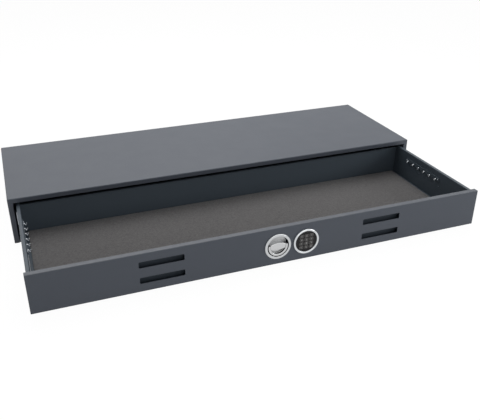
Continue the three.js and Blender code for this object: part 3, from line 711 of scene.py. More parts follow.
@cache
def rubbed_edges_and_highlights() -> Tree:
    """A group for painted and plated pieces: the colour that shows, in broken stretches, on a rubbed edge,
    and the painted highlight on a marked top.

    Returns:
        The group's tree.
    """
    wiring, given = new_group(
        "rubbed_edges_and_highlights", {"Colour": "Color", "Rubbed Colour": "Color", "Amount": "Float"},
        {"Colour": "Color"})
    edge = wiring.add("ShaderNodeAttribute", attribute_name=WORN_EDGE_AND_HIGHLIGHT).outputs["Fac"]
    patches = wiring.noise(wiring.coordinates(), scale=60.0, detail=5.0)
    broken = wiring.between(patches, 0.35, 0.65, to_low=0.5)
    mask = wiring.math("MULTIPLY", wiring.math("MULTIPLY", edge, broken), given["Amount"])
    return wiring.ended({"Colour": wiring.mix(mask, given["Colour"], given["Rubbed Colour"])})


@cache
def painted_recess_shade() -> Tree:
    """A group for coated, plated and moulded pieces: the painted shade deep in gaps and pockets, as a darker
    colour and a roughness.

    Returns:
        The group's tree.
    """
    wiring, given = new_group(
        "painted_recess_shade", {
            "Colour": "Color", "Recess Colour": "Color", "Roughness": "Float", "Recess Roughness": "Float"},
        {"Colour": "Color", "Roughness": "Float"})
    # How much painted shade a face was given.
    depth = wiring.add("ShaderNodeAttribute", attribute_name=PAINTED_SHADE).outputs["Fac"]
    change = wiring.math("SUBTRACT", given["Recess Roughness"], given["Roughness"])
    return wiring.ended({
        "Colour": wiring.mix(depth, given["Colour"], given["Recess Colour"]),
        "Roughness": wiring.math("ADD", given["Roughness"], wiring.math("MULTIPLY", depth, change))})


@cache
def turned_lines() -> Tree:
    """A group for lathe-brushed metal: fine rings round a line that runs along Y.

    Returns:
        The group's tree.
    """
    wiring, given = new_group(
        "turned_lines", {"Centre": "Vector", "Scale": "Float"}, {"Height": "Float", "Shade": "Float"})
    x, y, z = wiring.add("ShaderNodeSeparateXYZ", {0: wiring.away_from(given["Centre"])}).outputs
    flat = wiring.add("ShaderNodeCombineXYZ", {0: x, 1: z}).outputs[0]
    radius = wiring.add("ShaderNodeVectorMath", {0: flat}, operation="LENGTH").outputs["Value"]
    swept = wiring.add("ShaderNodeCombineXYZ", {
        0: wiring.math("MULTIPLY", radius, given["Scale"]),
        1: wiring.math("MULTIPLY", wiring.math("ARCTAN2", x, z), 1.5),
        2: wiring.math("MULTIPLY", y, given["Scale"])})
    lines = wiring.noise(swept.outputs[0], scale=1.0)
    return wiring.ended({"Height": lines, "Shade": wiring.between(lines, 0.3, 0.7, -1.0, 1.0)})


class Finish(Protocol):
    """A finish that can be put on a piece."""

    slot: Slot

    def material(self) -> bpy.types.Material:
        """Builds the finish's material."""


def new_material(name: str) -> tuple[bpy.types.Material, Wiring]:
    """Starts a material.

    Args:
        name: The material's name.

    Returns:
        The material, and the wiring of its empty tree.
    """
    made = bpy.data.materials.new(name)
    made.use_nodes = True
    made.node_tree.nodes.clear()
    return made, Wiring(made.node_tree)


class Dressing:
    """A new material with its surface shader and the groups that it uses."""

    def __init__(self, name: str, **constants: object) -> None:
        """Makes the material and sets what is the same all over its surface.

        Args:
            name: The material's name.
            constants: Values for the surface shader's own sockets, with _ for a blank.
        """
        self.made, self.wiring = new_material(name)
        self.shader = self.wiring.add("ShaderNodeBsdfPrincipled", {
            key.replace("_", " "): value for key, value in constants.items()})
        self.wiring.add("ShaderNodeOutputMaterial", {"Surface": self.shader.outputs[0]})

    def group(self, tree: Tree, values: dict[str, object]) -> Sockets:
        """Places a shared group with this material's own values, and gives its outputs."""
        return self.wiring.add("ShaderNodeGroup", values, node_tree=tree).outputs

    def feed(self, **sources: Socket) -> None:
        """Feeds the surface shader's sockets, with _ for a blank."""
        for name, source in sources.items():
            self.wiring.tree.links.new(source, self.shader.inputs[name.replace("_", " ")])

    def grain(self, colour: Colour, scale: float, drift: float, fleck: float) -> Sockets:
        """The colour and the height of a skin with a fine grain."""
        return self.group(coat_grain(), {
            "Colour": colour, "Grain Scale": scale, "Drift": drift, "Fleck": fleck})

    def worn(self, colour: Colour | Socket, rubbed: Colour, amount: float) -> Socket:
        """The colour, with its rubbed edges, and painted highlights where a piece marks them the same way.
        """
        values = {"Colour": colour, "Rubbed Colour": rubbed, "Amount": amount}
        return self.group(rubbed_edges_and_highlights(), values)["Colour"]

    def handled(self, roughness: float, smudge: float, hairline: float) -> Socket:
        """The roughness, with the marks of use."""
        values = {"Roughness": roughness, "Smudge": smudge, "Hairline": hairline}
        return self.group(handling_marks(), values)["Roughness"]

    def with_painted_shade(self, colour: Socket, roughness: Socket, recess: Colour, recess_roughness: float) -> None:
        """Feeds the colour and the roughness, and what they turn to deep in gaps and pockets, where shade is
        painted in.

        Args:
            colour: The colour elsewhere.
            roughness: The roughness elsewhere.
            recess: The darker colour that paints shade in a gap.
            recess_roughness: The roughness in a gap.
        """
        deep = self.group(painted_recess_shade(), {
            "Colour": colour, "Recess Colour": recess,
            "Roughness": roughness, "Recess Roughness": recess_roughness})
        self.feed(Base_Color=deep["Colour"], Roughness=deep["Roughness"])

    def bump(self, height: Socket, strength: float, distance: float) -> None:
        """Lets a height show in the surface, at a depth in millimetres."""
        values = {"Height": height, "Strength": strength, "Distance": distance * MM}
        self.feed(Normal=self.wiring.add("ShaderNodeBump", values).outputs[0])


@dataclass(frozen=True)
class GrainedSkin:
    """A skin with a fine grain, rubbed edges that can also carry a painted highlight, and painted shade deep
    in pockets. As it stands, it is moulded plastic.
    """

    name: str
    slot: Slot
    colour: Colour
    # The colour of a rubbed edge, which a coat also uses for a painted highlight.
    rubbed: Colour = (0.06, 0.06, 0.062, 1)
    rub: float = 0.4
    roughness: float = 0.42
    level: float = 0.45
    grain_scale: float = 2600.0
    grain_depth: float = 0.04
    grain_strength: float = 0.5
    drift: float = 0.10
    fleck: float = 0.20
    smudge: float = 0.16
    hairline: float = 0.06
    # Painted shade for a moulded face deep in a pocket.
    recess: Colour = (0.006, 0.006, 0.006, 1)
    recess_roughness: float = 0.9

    def material(self) -> bpy.types.Material:
        """Builds the skin's material.

        Returns:
            The material.
        """
        dressing = Dressing(self.name, Specular_IOR_Level=self.level)
        grain = dressing.grain(self.colour, self.grain_scale, self.drift, self.fleck)
        dressing.with_painted_shade(
            dressing.worn(grain["Colour"], self.rubbed, self.rub),
            dressing.handled(self.roughness, self.smudge, self.hairline),
            self.recess, self.recess_roughness)
        dressing.bump(grain["Height"], self.grain_strength, self.grain_depth)
        return dressing.made


@dataclass(frozen=True)
class PowderCoat(GrainedSkin):
    """Satin powder coat on folded steel: a fine orange peel, rubbed edges that can also carry a painted
    highlight, and painted shade deep in gaps.
    """

    # How strongly rubbed edges and painted highlights show on the coat.
    rub: float = 0.35
    level: float = 0.38
    grain_scale: float = 620.0
    grain_depth: float = 0.05
    grain_strength: float = 0.35
    drift: float = 0.05
    fleck: float = 0.10
    smudge: float = 0.10
    hairline: float = 0.05
    # Painted shade for a coated face in a gap, such as the inner plate seen through the slots.
    recess: Colour = (0.020, 0.028, 0.038, 1)
    recess_roughness: float = 0.6


@dataclass(frozen=True)
class SatinChrome:
    """Cast metal, turned to a satin face about its centre and chromed."""

    name: str
    centre: Point
    slot: Slot = Slot.CHROME
    colour: Colour = (0.66, 0.68, 0.70, 1)
    dull: Colour = (0.50, 0.52, 0.54, 1)
    dull_share: float = 0.6
    line_scale: float = 2400.0
    # Painted shade for chrome deep in a gap or pocket.
    recess: Colour = (0.030, 0.032, 0.035, 1)
    roughness: float = 0.30
    recess_roughness: float = 0.6

    def material(self) -> bpy.types.Material:
        """Builds the metal's material.

        Returns:
            The material.
        """
        dressing = Dressing(self.name, Metallic=1.0, Anisotropic=0.35)
        middle = [length * MM for length in in_space(Axis.Y, self.centre, 0)]
        lines = dressing.group(turned_lines(), {"Centre": middle, "Scale": self.line_scale})
        streak = dressing.wiring.between(lines["Shade"], -1.0, 1.0, 0.0, self.dull_share)
        dressing.with_painted_shade(
            dressing.wiring.mix(streak, self.colour, self.dull),
            dressing.handled(self.roughness, smudge=0.14, hairline=0.05),
            self.recess, self.recess_roughness)
        dressing.bump(lines["Height"], strength=0.25, distance=0.02)
        return dressing.made


@dataclass(frozen=True)
class PlatedSteel:
    """Bright plated or machined metal with faint cloudy tones and rolling lines."""

    name: str
    slot: Slot
    colour: Colour
    cloud: Colour
    roughness: float = 0.32
    lines: Point3 = (30, 30, 1400)
    rub: float = 0.7

    def material(self) -> bpy.types.Material:
        """Builds the metal's material.

        Returns:
            The material.
        """
        dressing = Dressing(self.name, Metallic=1.0)
        wiring = dressing.wiring
        tone = wiring.between(wiring.noise(wiring.coordinates(), scale=70.0, detail=4.0), 0.35, 0.65)
        dressing.feed(
            Base_Color=dressing.worn(wiring.mix(tone, self.colour, self.cloud), self.colour, self.rub),
            Roughness=dressing.handled(self.roughness, smudge=0.18, hairline=0.12))
        dressing.bump(wiring.noise(wiring.stretched(self.lines), scale=1.0), strength=0.2, distance=0.02)
        return dressing.made


@dataclass(frozen=True)
class NeedleFelt:
    """Short needled felt: mottled fibres in every direction, with a soft nap."""

    name: str
    slot: Slot = Slot.FELT
    colour: Colour = (0.124, 0.119, 0.119, 1)
    pale: Colour = (0.198, 0.191, 0.190, 1)
    dark: Colour = (0.062, 0.060, 0.060, 1)
    fibre: Point3 = (350, 3200, 900)
    fibre_turns: tuple[float, ...] = (20, 80, 140)

    def material(self) -> bpy.types.Material:
        """Builds the felt's material.

        Returns:
            The material.
        """
        dressing = Dressing(
            self.name, Roughness=0.95, Specular_IOR_Level=0.12, Sheen_Weight=0.25, Sheen_Roughness=0.6)
        wiring = dressing.wiring
        first, second, third = [
            wiring.noise(wiring.stretched(self.fibre, (0, 0, turn)), scale=1.0, detail=3.0)
            for turn in self.fibre_turns]
        tangle = wiring.math("MAXIMUM", wiring.math("MAXIMUM", first, second), third)
        mottle = wiring.noise(wiring.coordinates(), scale=160.0, detail=5.0)
        body = wiring.mix(wiring.between(mottle, 0.3, 0.7), self.dark, self.colour)
        strands = wiring.mix(wiring.between(tangle, 0.56, 0.80), body, self.pale)
        slow = wiring.noise(wiring.coordinates(), scale=4.0, detail=3.0)
        worn = wiring.between(slow, 0.4, 0.7, to_high=0.25)
        dressing.feed(Base_Color=wiring.mix(worn, strands, self.colour))
        height = wiring.math(
            "ADD", wiring.math("MULTIPLY", tangle, 0.7), wiring.math("MULTIPLY", mottle, 0.5))
        dressing.bump(height, strength=0.8, distance=0.5)
        return dressing.made


@dataclass(frozen=True)
class PrintedInk:
    """Screen-printed ink that is slightly thin in places."""

    name: str
    colour: Colour
    thin: Colour
    slot: Slot = Slot.RUBBER

    def material(self) -> bpy.types.Material:
        """Builds the ink's material.

        Returns:
            The material.
        """
        dressing = Dressing(self.name, Specular_IOR_Level=0.4)
        wiring = dressing.wiring
        cover = wiring.between(wiring.noise(wiring.coordinates(), scale=900.0, detail=3.0), 0.35, 0.55)
        dressing.feed(
            Base_Color=wiring.mix(cover, self.thin, self.colour),
            Roughness=dressing.handled(0.5, smudge=0.1, hairline=0.0))
        return dressing.made


# Its rubbed colour also paints the highlight on the top of the drawer's front.
GRAPHITE_COAT = PowderCoat(
    "graphite_powder_coat", Slot.SHELL, (0.069, 0.080, 0.101, 1), (0.150, 0.160, 0.180, 1))
# The shell's powder coat for the inside of the drawer, painted darker for the shade in there and tinted teal
# as a painted reflection.
SHADED_INNER_COAT = PowderCoat(
    "shaded_inner_powder_coat", Slot.INNER, (0.057, 0.074, 0.092, 1), (0.110, 0.130, 0.150, 1), roughness=0.48)
ZINC_PLATE = PlatedSteel("bright_zinc_plate", Slot.ZINC, (0.60, 0.62, 0.64, 1), (0.46, 0.49, 0.53, 1))
TURNED_BRASS = PlatedSteel(
    "turned_brass", Slot.BRASS, (0.60, 0.43, 0.18, 1), (0.50, 0.35, 0.14, 1), 0.28, (1200, 40, 40))
BLACK_ABS = GrainedSkin("black_moulding", Slot.PLASTIC, (0.020, 0.020, 0.022, 1))
CABLE_JACKET = GrainedSkin(
    "cable_jacket", Slot.PLASTIC, (0.022, 0.022, 0.024, 1), roughness=0.55, grain_scale=1200.0,
    grain_depth=0.02)
KEYPAD_SKIN = GrainedSkin(
    "keypad_face_skin", Slot.PLASTIC, (0.012, 0.012, 0.013, 1), roughness=0.5, level=0.2)
KEY_RUBBER = GrainedSkin(
    "key_rubber", Slot.RUBBER, (0.070, 0.068, 0.068, 1), (0.30, 0.29, 0.28, 1), rub=0.8, roughness=0.62,
    level=0.3, grain_scale=3200.0)
FELT = NeedleFelt("needle_felt")
NUMBER_INK = PrintedInk("pale_number_ink", (0.52, 0.52, 0.51, 1), (0.36, 0.36, 0.36, 1))


@cache
def material_of(finish: Finish) -> bpy.types.Material:
    """Gives the one material that every piece with this finish shares."""
    return finish.material()


@dataclass(frozen=True)
class Piece:
    """What a finished piece is called, what it rides on and stands for, and its finish."""

    name: str
    body: str
    finish: Finish
    stands_for: tuple[str, ...] = ()


def place(piece: Piece, shape: Shape) -> Object:
    """Puts a finished shape in the scene, in metres, on its body.

    Args:
        piece: What the piece is.
        shape: Its shape, in millimetres.

    Returns:
        The piece's object, at the origin, with its place in its mesh.
    """
    mesh = shape.mesh
    mesh.name = piece.name
    mesh.materials.clear()
    mesh.materials.append(material_of(piece.finish))
    mesh.transform(Matrix.Scale(MM, 4))
    placed = linked(piece.name, mesh)
    if piece.stands_for:
        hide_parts(*piece.stands_for)
    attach(placed, piece.body)
    return placed


def dress(node: str, finish: Finish) -> Object:
    """Gives a CAD node that keeps its own shape a better material.

    Args:
        node: The node's name.
        finish: The finish that it gets.

    Returns:
        The node's object.
    """
    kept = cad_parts[node]
    kept.data.materials.clear()
    kept.data.materials.append(material_of(finish))
    return kept


def softened_node(node: str, body: str, finish: Finish, width: float) -> Object:
    """Replaces a CAD node by the same form with its corners rounded.

    Args:
        node: The node's name.
        body: The body that it rides on.
        finish: The finish that it gets.
        width: How far the rounding reaches from a corner.

    Returns:
        The piece's object.
    """
    shape = Shape.of_node(node).softened(width).shaded()
    return place(Piece(f"{node}_piece", body, finish, (node,)), shape)


@dataclass(frozen=True)
class Grid:
    """Where the copies of a repeated shape stand, and how far each is turned at random."""

    start: Point3
    along: Point3 = (0.0, 0.0, 0.0)
    count: int = 1
    across: Point3 = (0.0, 0.0, 0.0)
    rows: int = 1
    spin_axis: Point3 = (0.0, 1.0, 0.0)
    spin: float = 0.0
    seed: int = 1


def node_shape(shape: Shape, tree: Tree, values: dict[str, object]) -> Shape:
    """Runs a Geometry Nodes tree on a shape and keeps the plain mesh.

    Args:
        shape: The shape that the tree works on.
        tree: The tree.
        values: What its named inputs get.

    Returns:
        The result, in millimetres.
    """
    worked = linked("worked", shape.mesh)
    modifier = worked.modifiers.new("repeat", "NODES")
    modifier.node_group = tree
    identifiers = {
        item.name: item.identifier for item in tree.interface.items_tree
        if item.item_type == "SOCKET" and item.in_out == "INPUT"}
    for name, value in values.items():
        modifier[identifiers[name]] = value
    return Shape(evaluated(worked))


def coated(wiring: Wiring, copies: Socket, material: Socket) -> Tree:
    """Ends a tree: makes its copies real and gives them their material."""
    values = {"Geometry": wiring.add("GeometryNodeRealizeInstances", {"Geometry": copies}).outputs[0],
              "Material": material}
    return wiring.ended({"Copies": wiring.add("GeometryNodeSetMaterial", values).outputs[0]})


@cache
def copies_on_grid() -> Tree:
    """A tree that sets copies of its own mesh on a grid of points, each with a random turn.

    Returns:
        The tree.
    """
    wiring, given = new_group(
        "copies_on_grid", {
            "Shape": "Geometry", "Start": "Vector", "Step Along": "Vector", "Count Along": "Int",
            "Step Across": "Vector", "Count Across": "Int", "Spin Axis": "Vector", "Largest Spin": "Float",
            "Seed": "Int", "Material": "Material"},
        {"Copies": "Geometry"}, "Geometry")
    line = wiring.add("GeometryNodeMeshLine", {
        "Count": given["Count Along"], "Start Location": given["Start"], "Offset": given["Step Along"]})
    lines = wiring.add("GeometryNodeMeshLine", {
        "Count": given["Count Across"], "Offset": given["Step Across"]})
    grid = wiring.add("GeometryNodeInstanceOnPoints", {
        "Points": line.outputs[0], "Instance": lines.outputs[0]})
    points = wiring.add("GeometryNodeRealizeInstances", {"Geometry": grid.outputs[0]})
    least = wiring.math("MULTIPLY", given["Largest Spin"], -1.0)
    spin = wiring.add("FunctionNodeRandomValue", {
        2: least, 3: given["Largest Spin"], "Seed": given["Seed"]}, data_type="FLOAT")
    turn = wiring.add("FunctionNodeAxisAngleToRotation", {
        "Axis": given["Spin Axis"], "Angle": spin.outputs[1]})
    copies = wiring.add("GeometryNodeInstanceOnPoints", {
        "Points": points.outputs[0], "Instance": given["Shape"], "Rotation": turn.outputs[0]})
    return coated(wiring, copies.outputs[0], given["Material"])


@cache
def bent_wires() -> Tree:
    """A tree that gives the line of its own mesh a round section and sets copies of that wire in a row.

    Returns:
        The tree.
    """
    wiring, given = new_group(
        "bent_wires", {
            "Line": "Geometry", "Wire Radius": "Float", "Wire Sides": "Int", "Step": "Vector",
            "Count": "Int", "Material": "Material"},
        {"Copies": "Geometry"}, "Geometry")
    curve = wiring.add("GeometryNodeMeshToCurve", {"Mesh": given["Line"]})
    section = wiring.add("GeometryNodeCurvePrimitiveCircle", {
        "Resolution": given["Wire Sides"], "Radius": given["Wire Radius"]})
    wire = wiring.add("GeometryNodeCurveToMesh", {
        "Curve": curve.outputs[0], "Profile Curve": section.outputs[0], "Fill Caps": True})
    row = wiring.add("GeometryNodeMeshLine", {"Count": given["Count"], "Offset": given["Step"]})
    copies = wiring.add("GeometryNodeInstanceOnPoints", {
        "Points": row.outputs[0], "Instance": wire.outputs[0]})
    return coated(wiring, copies.outputs[0], given["Material"])


def repeated(shape: Shape, grid: Grid, finish: Finish | None = None) -> Shape:
    """Sets copies of a shape on a grid.

    Args:
        shape: The shape, drawn about the origin.
        grid: Where the copies stand.
        finish: The finish that they get, or none for a cutting tool.

    Returns:
        All the copies as one shape.
    """
    return node_shape(shape, copies_on_grid(), {
        "Start": grid.start, "Step Along": grid.along, "Count Along": grid.count,
        "Step Across": grid.across, "Count Across": grid.rows,
        "Spin Axis": grid.spin_axis, "Largest Spin": grid.spin, "Seed": grid.seed,
        "Material": material_of(finish) if finish else None})


@dataclass(frozen=True)
class ScrewHead:
    """A pan head with a cross recess. It looks along -Y and stands with its seat at the origin."""

    radius: float = 3.6
    height: float = 2.0
    edge_share: float = 0.8
    recess_share: float = 0.62
    recess_depth: float = 1.2
    blade: float = 0.9
    blade_corner: float = 0.1
    sides: int = 28

    def shape(self) -> Shape:
        """Draws the head.

        Returns:
            The head.
        """
        edge = self.height * self.edge_share
        crown = arc((self.radius - edge, edge - self.height), edge, 0, -90, steps=5)
        head = Shape.turned(
            Axis.Y, (0, 0), [(0, 0), (self.radius, 0), *crown, (0, -self.height)], self.sides)
        reach, half = self.radius * self.recess_share, self.blade / 2
        ends = (-self.height - OVERRUN, self.recess_depth - self.height)
        blades = [
            Shape.prism(Axis.Y, rounded_rectangle((0, 0), size, self.blade_corner, steps=2), *ends)
            for size in ((reach, half), (half, reach))]
        return head.cut(*blades).shaded()


@dataclass(frozen=True)
class RivetHead:
    """A low dome that looks along -Y and stands with its seat at the origin."""

    radius: float = 3.2
    height: float = 1.1
    sides: int = 24

    def shape(self) -> Shape:
        """Draws the dome."""
        dome = [(self.radius * out, -self.height * up) for out, up in arc((0, 0), 1, 0, 75, steps=5)]
        return Shape.turned(Axis.Y, (0, 0), [(0, 0), *dome, (0, -self.height)], self.sides).shaded()


class SubAssembly(ABC):
    """A group of pieces that are built and dressed together, round the CAD nodes of the main piece."""

    nodes: tuple[str, ...] = ()

    @property
    def extent(self) -> Extent:
        """The box round those nodes."""
        return Extent.of(*self.nodes)

    @abstractmethod
    def build(self) -> list[Object]:
        """Builds the pieces and gives them back."""


@dataclass
class PhotographCamera:
    """The camera that sees the safe as the photograph does."""

    focal_pixels: float = 630.882847
    picture_width: float = 480.0
    yaw: float = -0.362691
    pitch: float = -0.480961
    roll: float = -0.001345
    place: Point3 = (-692.083, -2177.027, 1062.366)
    sensor: float = 36.0
    sight: float = 100.0

    def build(self) -> Object:
        """Makes the camera and hands it to the scene.

        Returns:
            The camera.
        """
        lens = bpy.data.cameras.new("photograph_camera")
        lens.sensor_width = self.sensor
        lens.lens = self.focal_pixels / self.picture_width * self.sensor
        lens.clip_end = self.sight
        turn = Matrix.Rotation(self.yaw, 4, "Z") @ Matrix.Rotation(self.pitch, 4, "X")
        turn = turn @ Matrix.Rotation(self.roll, 4, "Y") @ Matrix.Rotation(math.pi / 2, 4, "X")
        camera = linked("photograph_camera", lens)
        camera.matrix_world = Matrix.Translation(Vector(self.place) * MM) @ turn
        bpy.context.scene.camera = camera
        return camera


@dataclass(frozen=True)
class SoftBox:
    """A wide lamp that is aimed at a point. Sizes are in metres."""

    name: str
    place: Point3
    aim: Point3
    width: float
    depth: float
    watts: float

    def build(self) -> Object:
        """Hangs the lamp.

        Returns:
            The lamp.
        """
        light = bpy.data.lights.new(self.name, "AREA")
        light.shape = "RECTANGLE"
        light.size = self.width
        light.size_y = self.depth
        light.energy = self.watts
        lamp = linked(self.name, light)
        lamp.location = self.place
        lamp.rotation_euler = (Vector(self.aim) - Vector(self.place)).to_track_quat("-Z", "Y").to_euler()
        return lamp


@dataclass
class Studio:
    """A white room with soft lamps. Sizes are in metres."""

    floor_half: float = 14.0
    floor_drop: float = 0.0004
    sky: float = 0.13
    floor_colour: Colour = (0.86, 0.86, 0.86, 1)
    floor_share: float = 0.94
    floor_glow: float = 1.035
    lamps: tuple[SoftBox, ...] = (
        SoftBox("ceiling_softbox", (0.3, 0.5, 2.8), (0.0, -0.2, 0.0), 3.4, 2.2, 64.0),
        SoftBox("rear_softbox", (0.0, 2.4, 2.4), (0.0, 0.0, 0.1), 3.0, 1.5, 13.0),
        SoftBox("right_softbox", (2.8, -2.2, 1.2), (0.3, -0.5, 0.1), 1.4, 1.2, 27.0),
        SoftBox("front_softbox", (0.2, -3.0, 0.9), (0.0, -0.7, 0.1), 2.0, 0.8, 11.0),
    )

    def _white_to_the_eye(self, wiring: Wiring) -> Socket:
        """Is 1 for a ray from the camera, a mirror or glass.

        Args:
            wiring: The tree that asks.

        Returns:
            The answer, 0 or 1.
        """
        rays = wiring.add("ShaderNodeLightPath").outputs
        seen = wiring.math("MAXIMUM", rays["Is Camera Ray"], rays["Is Glossy Ray"])
        return wiring.math("MAXIMUM", seen, rays["Is Transmission Ray"])

    def _sky(self) -> None:
        """Lights the room from all round, and shows white behind the safe."""
        world = bpy.data.worlds.new("studio_sky")
        world.use_nodes = True
        world.node_tree.nodes.clear()
        wiring = Wiring(world.node_tree)
        lit, shown = [
            wiring.add("ShaderNodeBackground", {"Color": WHITE, "Strength": strength}).outputs[0]
            for strength in (self.sky, 1.0)]
        mixed = wiring.mixed(self._white_to_the_eye(wiring), lit, shown)
        wiring.add("ShaderNodeOutputWorld", {"Surface": mixed})
        bpy.context.scene.world = world

    def _floor(self) -> Object:
        """Lays the floor, which keeps the safe's shadow and can be looked through from below.

        Returns:
            The floor.
        """
        made, wiring = new_material("studio_floor")
        matt = wiring.add("ShaderNodeBsdfDiffuse", {"Color": self.floor_colour}).outputs[0]
        glow = wiring.add("ShaderNodeEmission", {"Color": WHITE, "Strength": self.floor_glow}).outputs[0]
        share = wiring.math("MULTIPLY", self._white_to_the_eye(wiring), self.floor_share)
        clear = wiring.add("ShaderNodeBsdfTransparent").outputs[0]
        behind = wiring.add("ShaderNodeNewGeometry").outputs["Backfacing"]
        both = wiring.mixed(behind, wiring.mixed(share, matt, glow), clear)
        wiring.add("ShaderNodeOutputMaterial", {"Surface": both})
        mesh = bpy.data.meshes.new("studio_floor")
        half, drop = self.floor_half, -self.floor_drop
        corners = [(-half, -half, drop), (half, -half, drop), (half, half, drop), (-half, half, drop)]
        mesh.from_pydata(corners, [], [(0, 1, 2, 3)])
        mesh.materials.append(made)
        floor = linked("studio_floor", mesh)
        return floor

    def build(self) -> list[Object]:
        """Builds the room.

        Returns:
            Its floor and lamps.
        """
        bpy.context.scene.view_settings.view_transform = "Standard"
        self._sky()
        return [self._floor(), *[lamp.build() for lamp in self.lamps]]


@dataclass
class LockCable(SubAssembly):
    """The keypad's cable: through both plates of the drawer's front and down to the lock body."""

    nodes: tuple[str, ...] = ("lock_cable",)
    radius: float = 1.5
    hole_radius: float = 4.0
    front_depth: float = 17.0
    plug_gap: float = 0.3
    plug_radius: float = 2.4
    plug_length: float = 5.0
    plug_straight: float = 0.6
    plug_mouth: float = 1.05
    plug_sides: int = 24
    route_steps: int = 8

    def build(self) -> list[Object]:
        """Draws the cable on the route of its CAD solid, with the plug at the lock.

        Returns:
            The cable and its plug.
        """
        lock, (_, face, bottom) = Extent.of("lock_body"), self.extent.low
        entry, height = Extent.of("keypad_face").middle.x, DrawerFront.cable_height
        out_of_plate = face + self.front_depth + 2 * self.hole_radius
        end = (lock.high.x + self.plug_gap, lock.middle.y, bottom + self.radius)
        route = smooth_route([
            (entry, face + self.radius, height),
            (entry, face + self.front_depth, height),
            (entry - self.hole_radius, out_of_plate, height),
            ((entry + end[0]) / 2, (out_of_plate + end[1]) / 2, height),
            (end[0] + 2 * self.hole_radius, end[1], end[2]),
            end,
        ], self.route_steps)
        cable = place(
            Piece("keypad_cable", "drawer", CABLE_JACKET, self.nodes),
            Shape.tube(route, self.radius).shaded())
        start, tip = end[0], end[0] + self.plug_length
        profile = [
            (0, start), (self.plug_radius, start),
            (self.plug_radius, start + self.plug_length * self.plug_straight),
            (self.radius * self.plug_mouth, tip), (0, tip)]
        plug = place(
            Piece("keypad_cable_boot", "drawer", BLACK_ABS),
            Shape.turned(Axis.X, (end[1], end[2]), profile, self.plug_sides).shaded())
        return [cable, plug]


@dataclass
class CasingShell(SubAssembly):
    """The casing: a folded skin with a returned front, and the base, back and frame inside it."""

    nodes: tuple[str, ...] = ("casing_wrap", "casing_front_frame")
    sheet: float = 2.5
    corner: float = 4.0
    front_bend: float = 3.0
    inner_bend: float = 0.6
    face: float = 16.0
    eased: float = 0.4
    plates: dict[str, float] = field(default_factory=lambda: {
        "casing_base": 0.5, "casing_back": 0.35, "frame_top_rail": 0.35, "frame_bottom_rail": 0.35,
        "right_frame_post": 0.35, "left_frame_post": 0.35,
        "right_slide_bracket": 0.35, "left_slide_bracket": 0.35})

    def _section(self) -> list[Point]:
        """Draws the skin's section.

        Returns:
            The section, as (depth from its outside, place along Y).
        """
        front, back = self.extent.low.y, self.extent.high.y
        ease, sheet, face = self.eased, self.sheet, self.face
        inner = sheet + self.inner_bend
        return [
            (ease, back), (0, back - ease),
            *arc((self.front_bend, front + self.front_bend), self.front_bend, 180, 270),
            (face - ease, front), (face, front + ease),
            (face, front + sheet - ease), (face - ease, front + sheet),
            *arc((inner, front + inner), self.inner_bend, 270, 180, steps=4),
            (sheet, back - ease), (sheet - ease, back),
        ]

    def _stations(self, depth: float) -> list[Point]:
        """Draws the line over the casing, from the right foot to the left one.

        Args:
            depth: How far in from the casing's outside the line runs.

        Returns:
            The line.
        """
        foot, half, top = self.extent.low.z, self.extent.high.x, self.extent.high.z
        radius = max(self.corner - depth, 0)
        inset = max(depth, self.corner)
        right = arc((half - inset, top - inset), radius, 0, 90)
        left = arc((inset - half, top - inset), radius, 90, 180)
        return [(half - depth, foot), *right, *left, (depth - half, foot)]

    def _skin(self) -> Object:
        """Draws the folded skin in one piece.

        Returns:
            The skin.
        """
        lines = [
            [in_space(Axis.Y, point, place_y) for point in self._stations(depth)]
            for depth, place_y in self._section()]
        skin = Shape.of_loops(list(zip(*lines))).shaded()
        return place(Piece("casing_skin", "casing", GRAPHITE_COAT, self.nodes), skin)

    def build(self) -> list[Object]:
        """Builds the skin and the plates inside it."""
        made = [softened_node(node, "casing", GRAPHITE_COAT, width) for node, width in self.plates.items()]
        return [self._skin(), *made]


@dataclass
class SlideRails(SubAssembly):
    """The telescopic slides, with the screws that hold them to the drawer and the casing."""

    screw: ScrewHead = ScrewHead(radius=3.8, height=1.8)
    rivet: RivetHead = RivetHead()
    screw_shares: tuple[float, float] = (0.08, 0.92)
    screw_count: int = 4
    rail_wall: float = 1.2

    def _row(self, side: Side, row: Piece, head: Shape, seat: float, spin: float, seed: int) -> Object:
        """Sets a row of fixings along the drawer's own rail.

        Args:
            side: The side that it is on.
            row: What the row is.
            head: One fixing, turned to look along X.
            seat: Where the fixings sit, along X on the right side.
            spin: How far each may be turned at random.
            seed: The seed of those turns.

        Returns:
            The row.
        """
        rail = Extent.of("right_slide_inner")
        first, last = [rail.low.y + rail.size.y * share for share in self.screw_shares]
        step = (last - first) / (self.screw_count - 1)
        grid = Grid(
            (seat, first, rail.middle.z), (0, step, 0), self.screw_count,
            spin_axis=(1, 0, 0), spin=spin, seed=seed)
        return place(row, repeated(head, grid, row.finish).on_side(side))

    def build(self) -> list[Object]:
        """Dresses the rails, sets the screws in their channels, and the rivets inside the drawer's walls.

        Returns:
            The rails and their fixings.
        """
        channel = Extent.of("right_slide_inner").low.x + self.rail_wall
        wall = Extent.of("right_drawer_wall").low.x
        made = []
        for side in Side:
            made += [dress(f"{side.word}_slide_{part}", ZINC_PLATE) for part in ("outer", "middle", "inner")]
            screws = Piece(f"{side.word}_slide_screws", "drawer", ZINC_PLATE)
            head = self.screw.shape().rotated(90, "Z")
            made.append(self._row(side, screws, head, channel, spin=math.pi, seed=7))
            rivets = Piece(f"{side.word}_wall_rivets", "drawer", SHADED_INNER_COAT)
            head = self.rivet.shape().rotated(-90, "Z")
            made.append(self._row(side, rivets, head, wall, spin=0.0, seed=3))
        return made


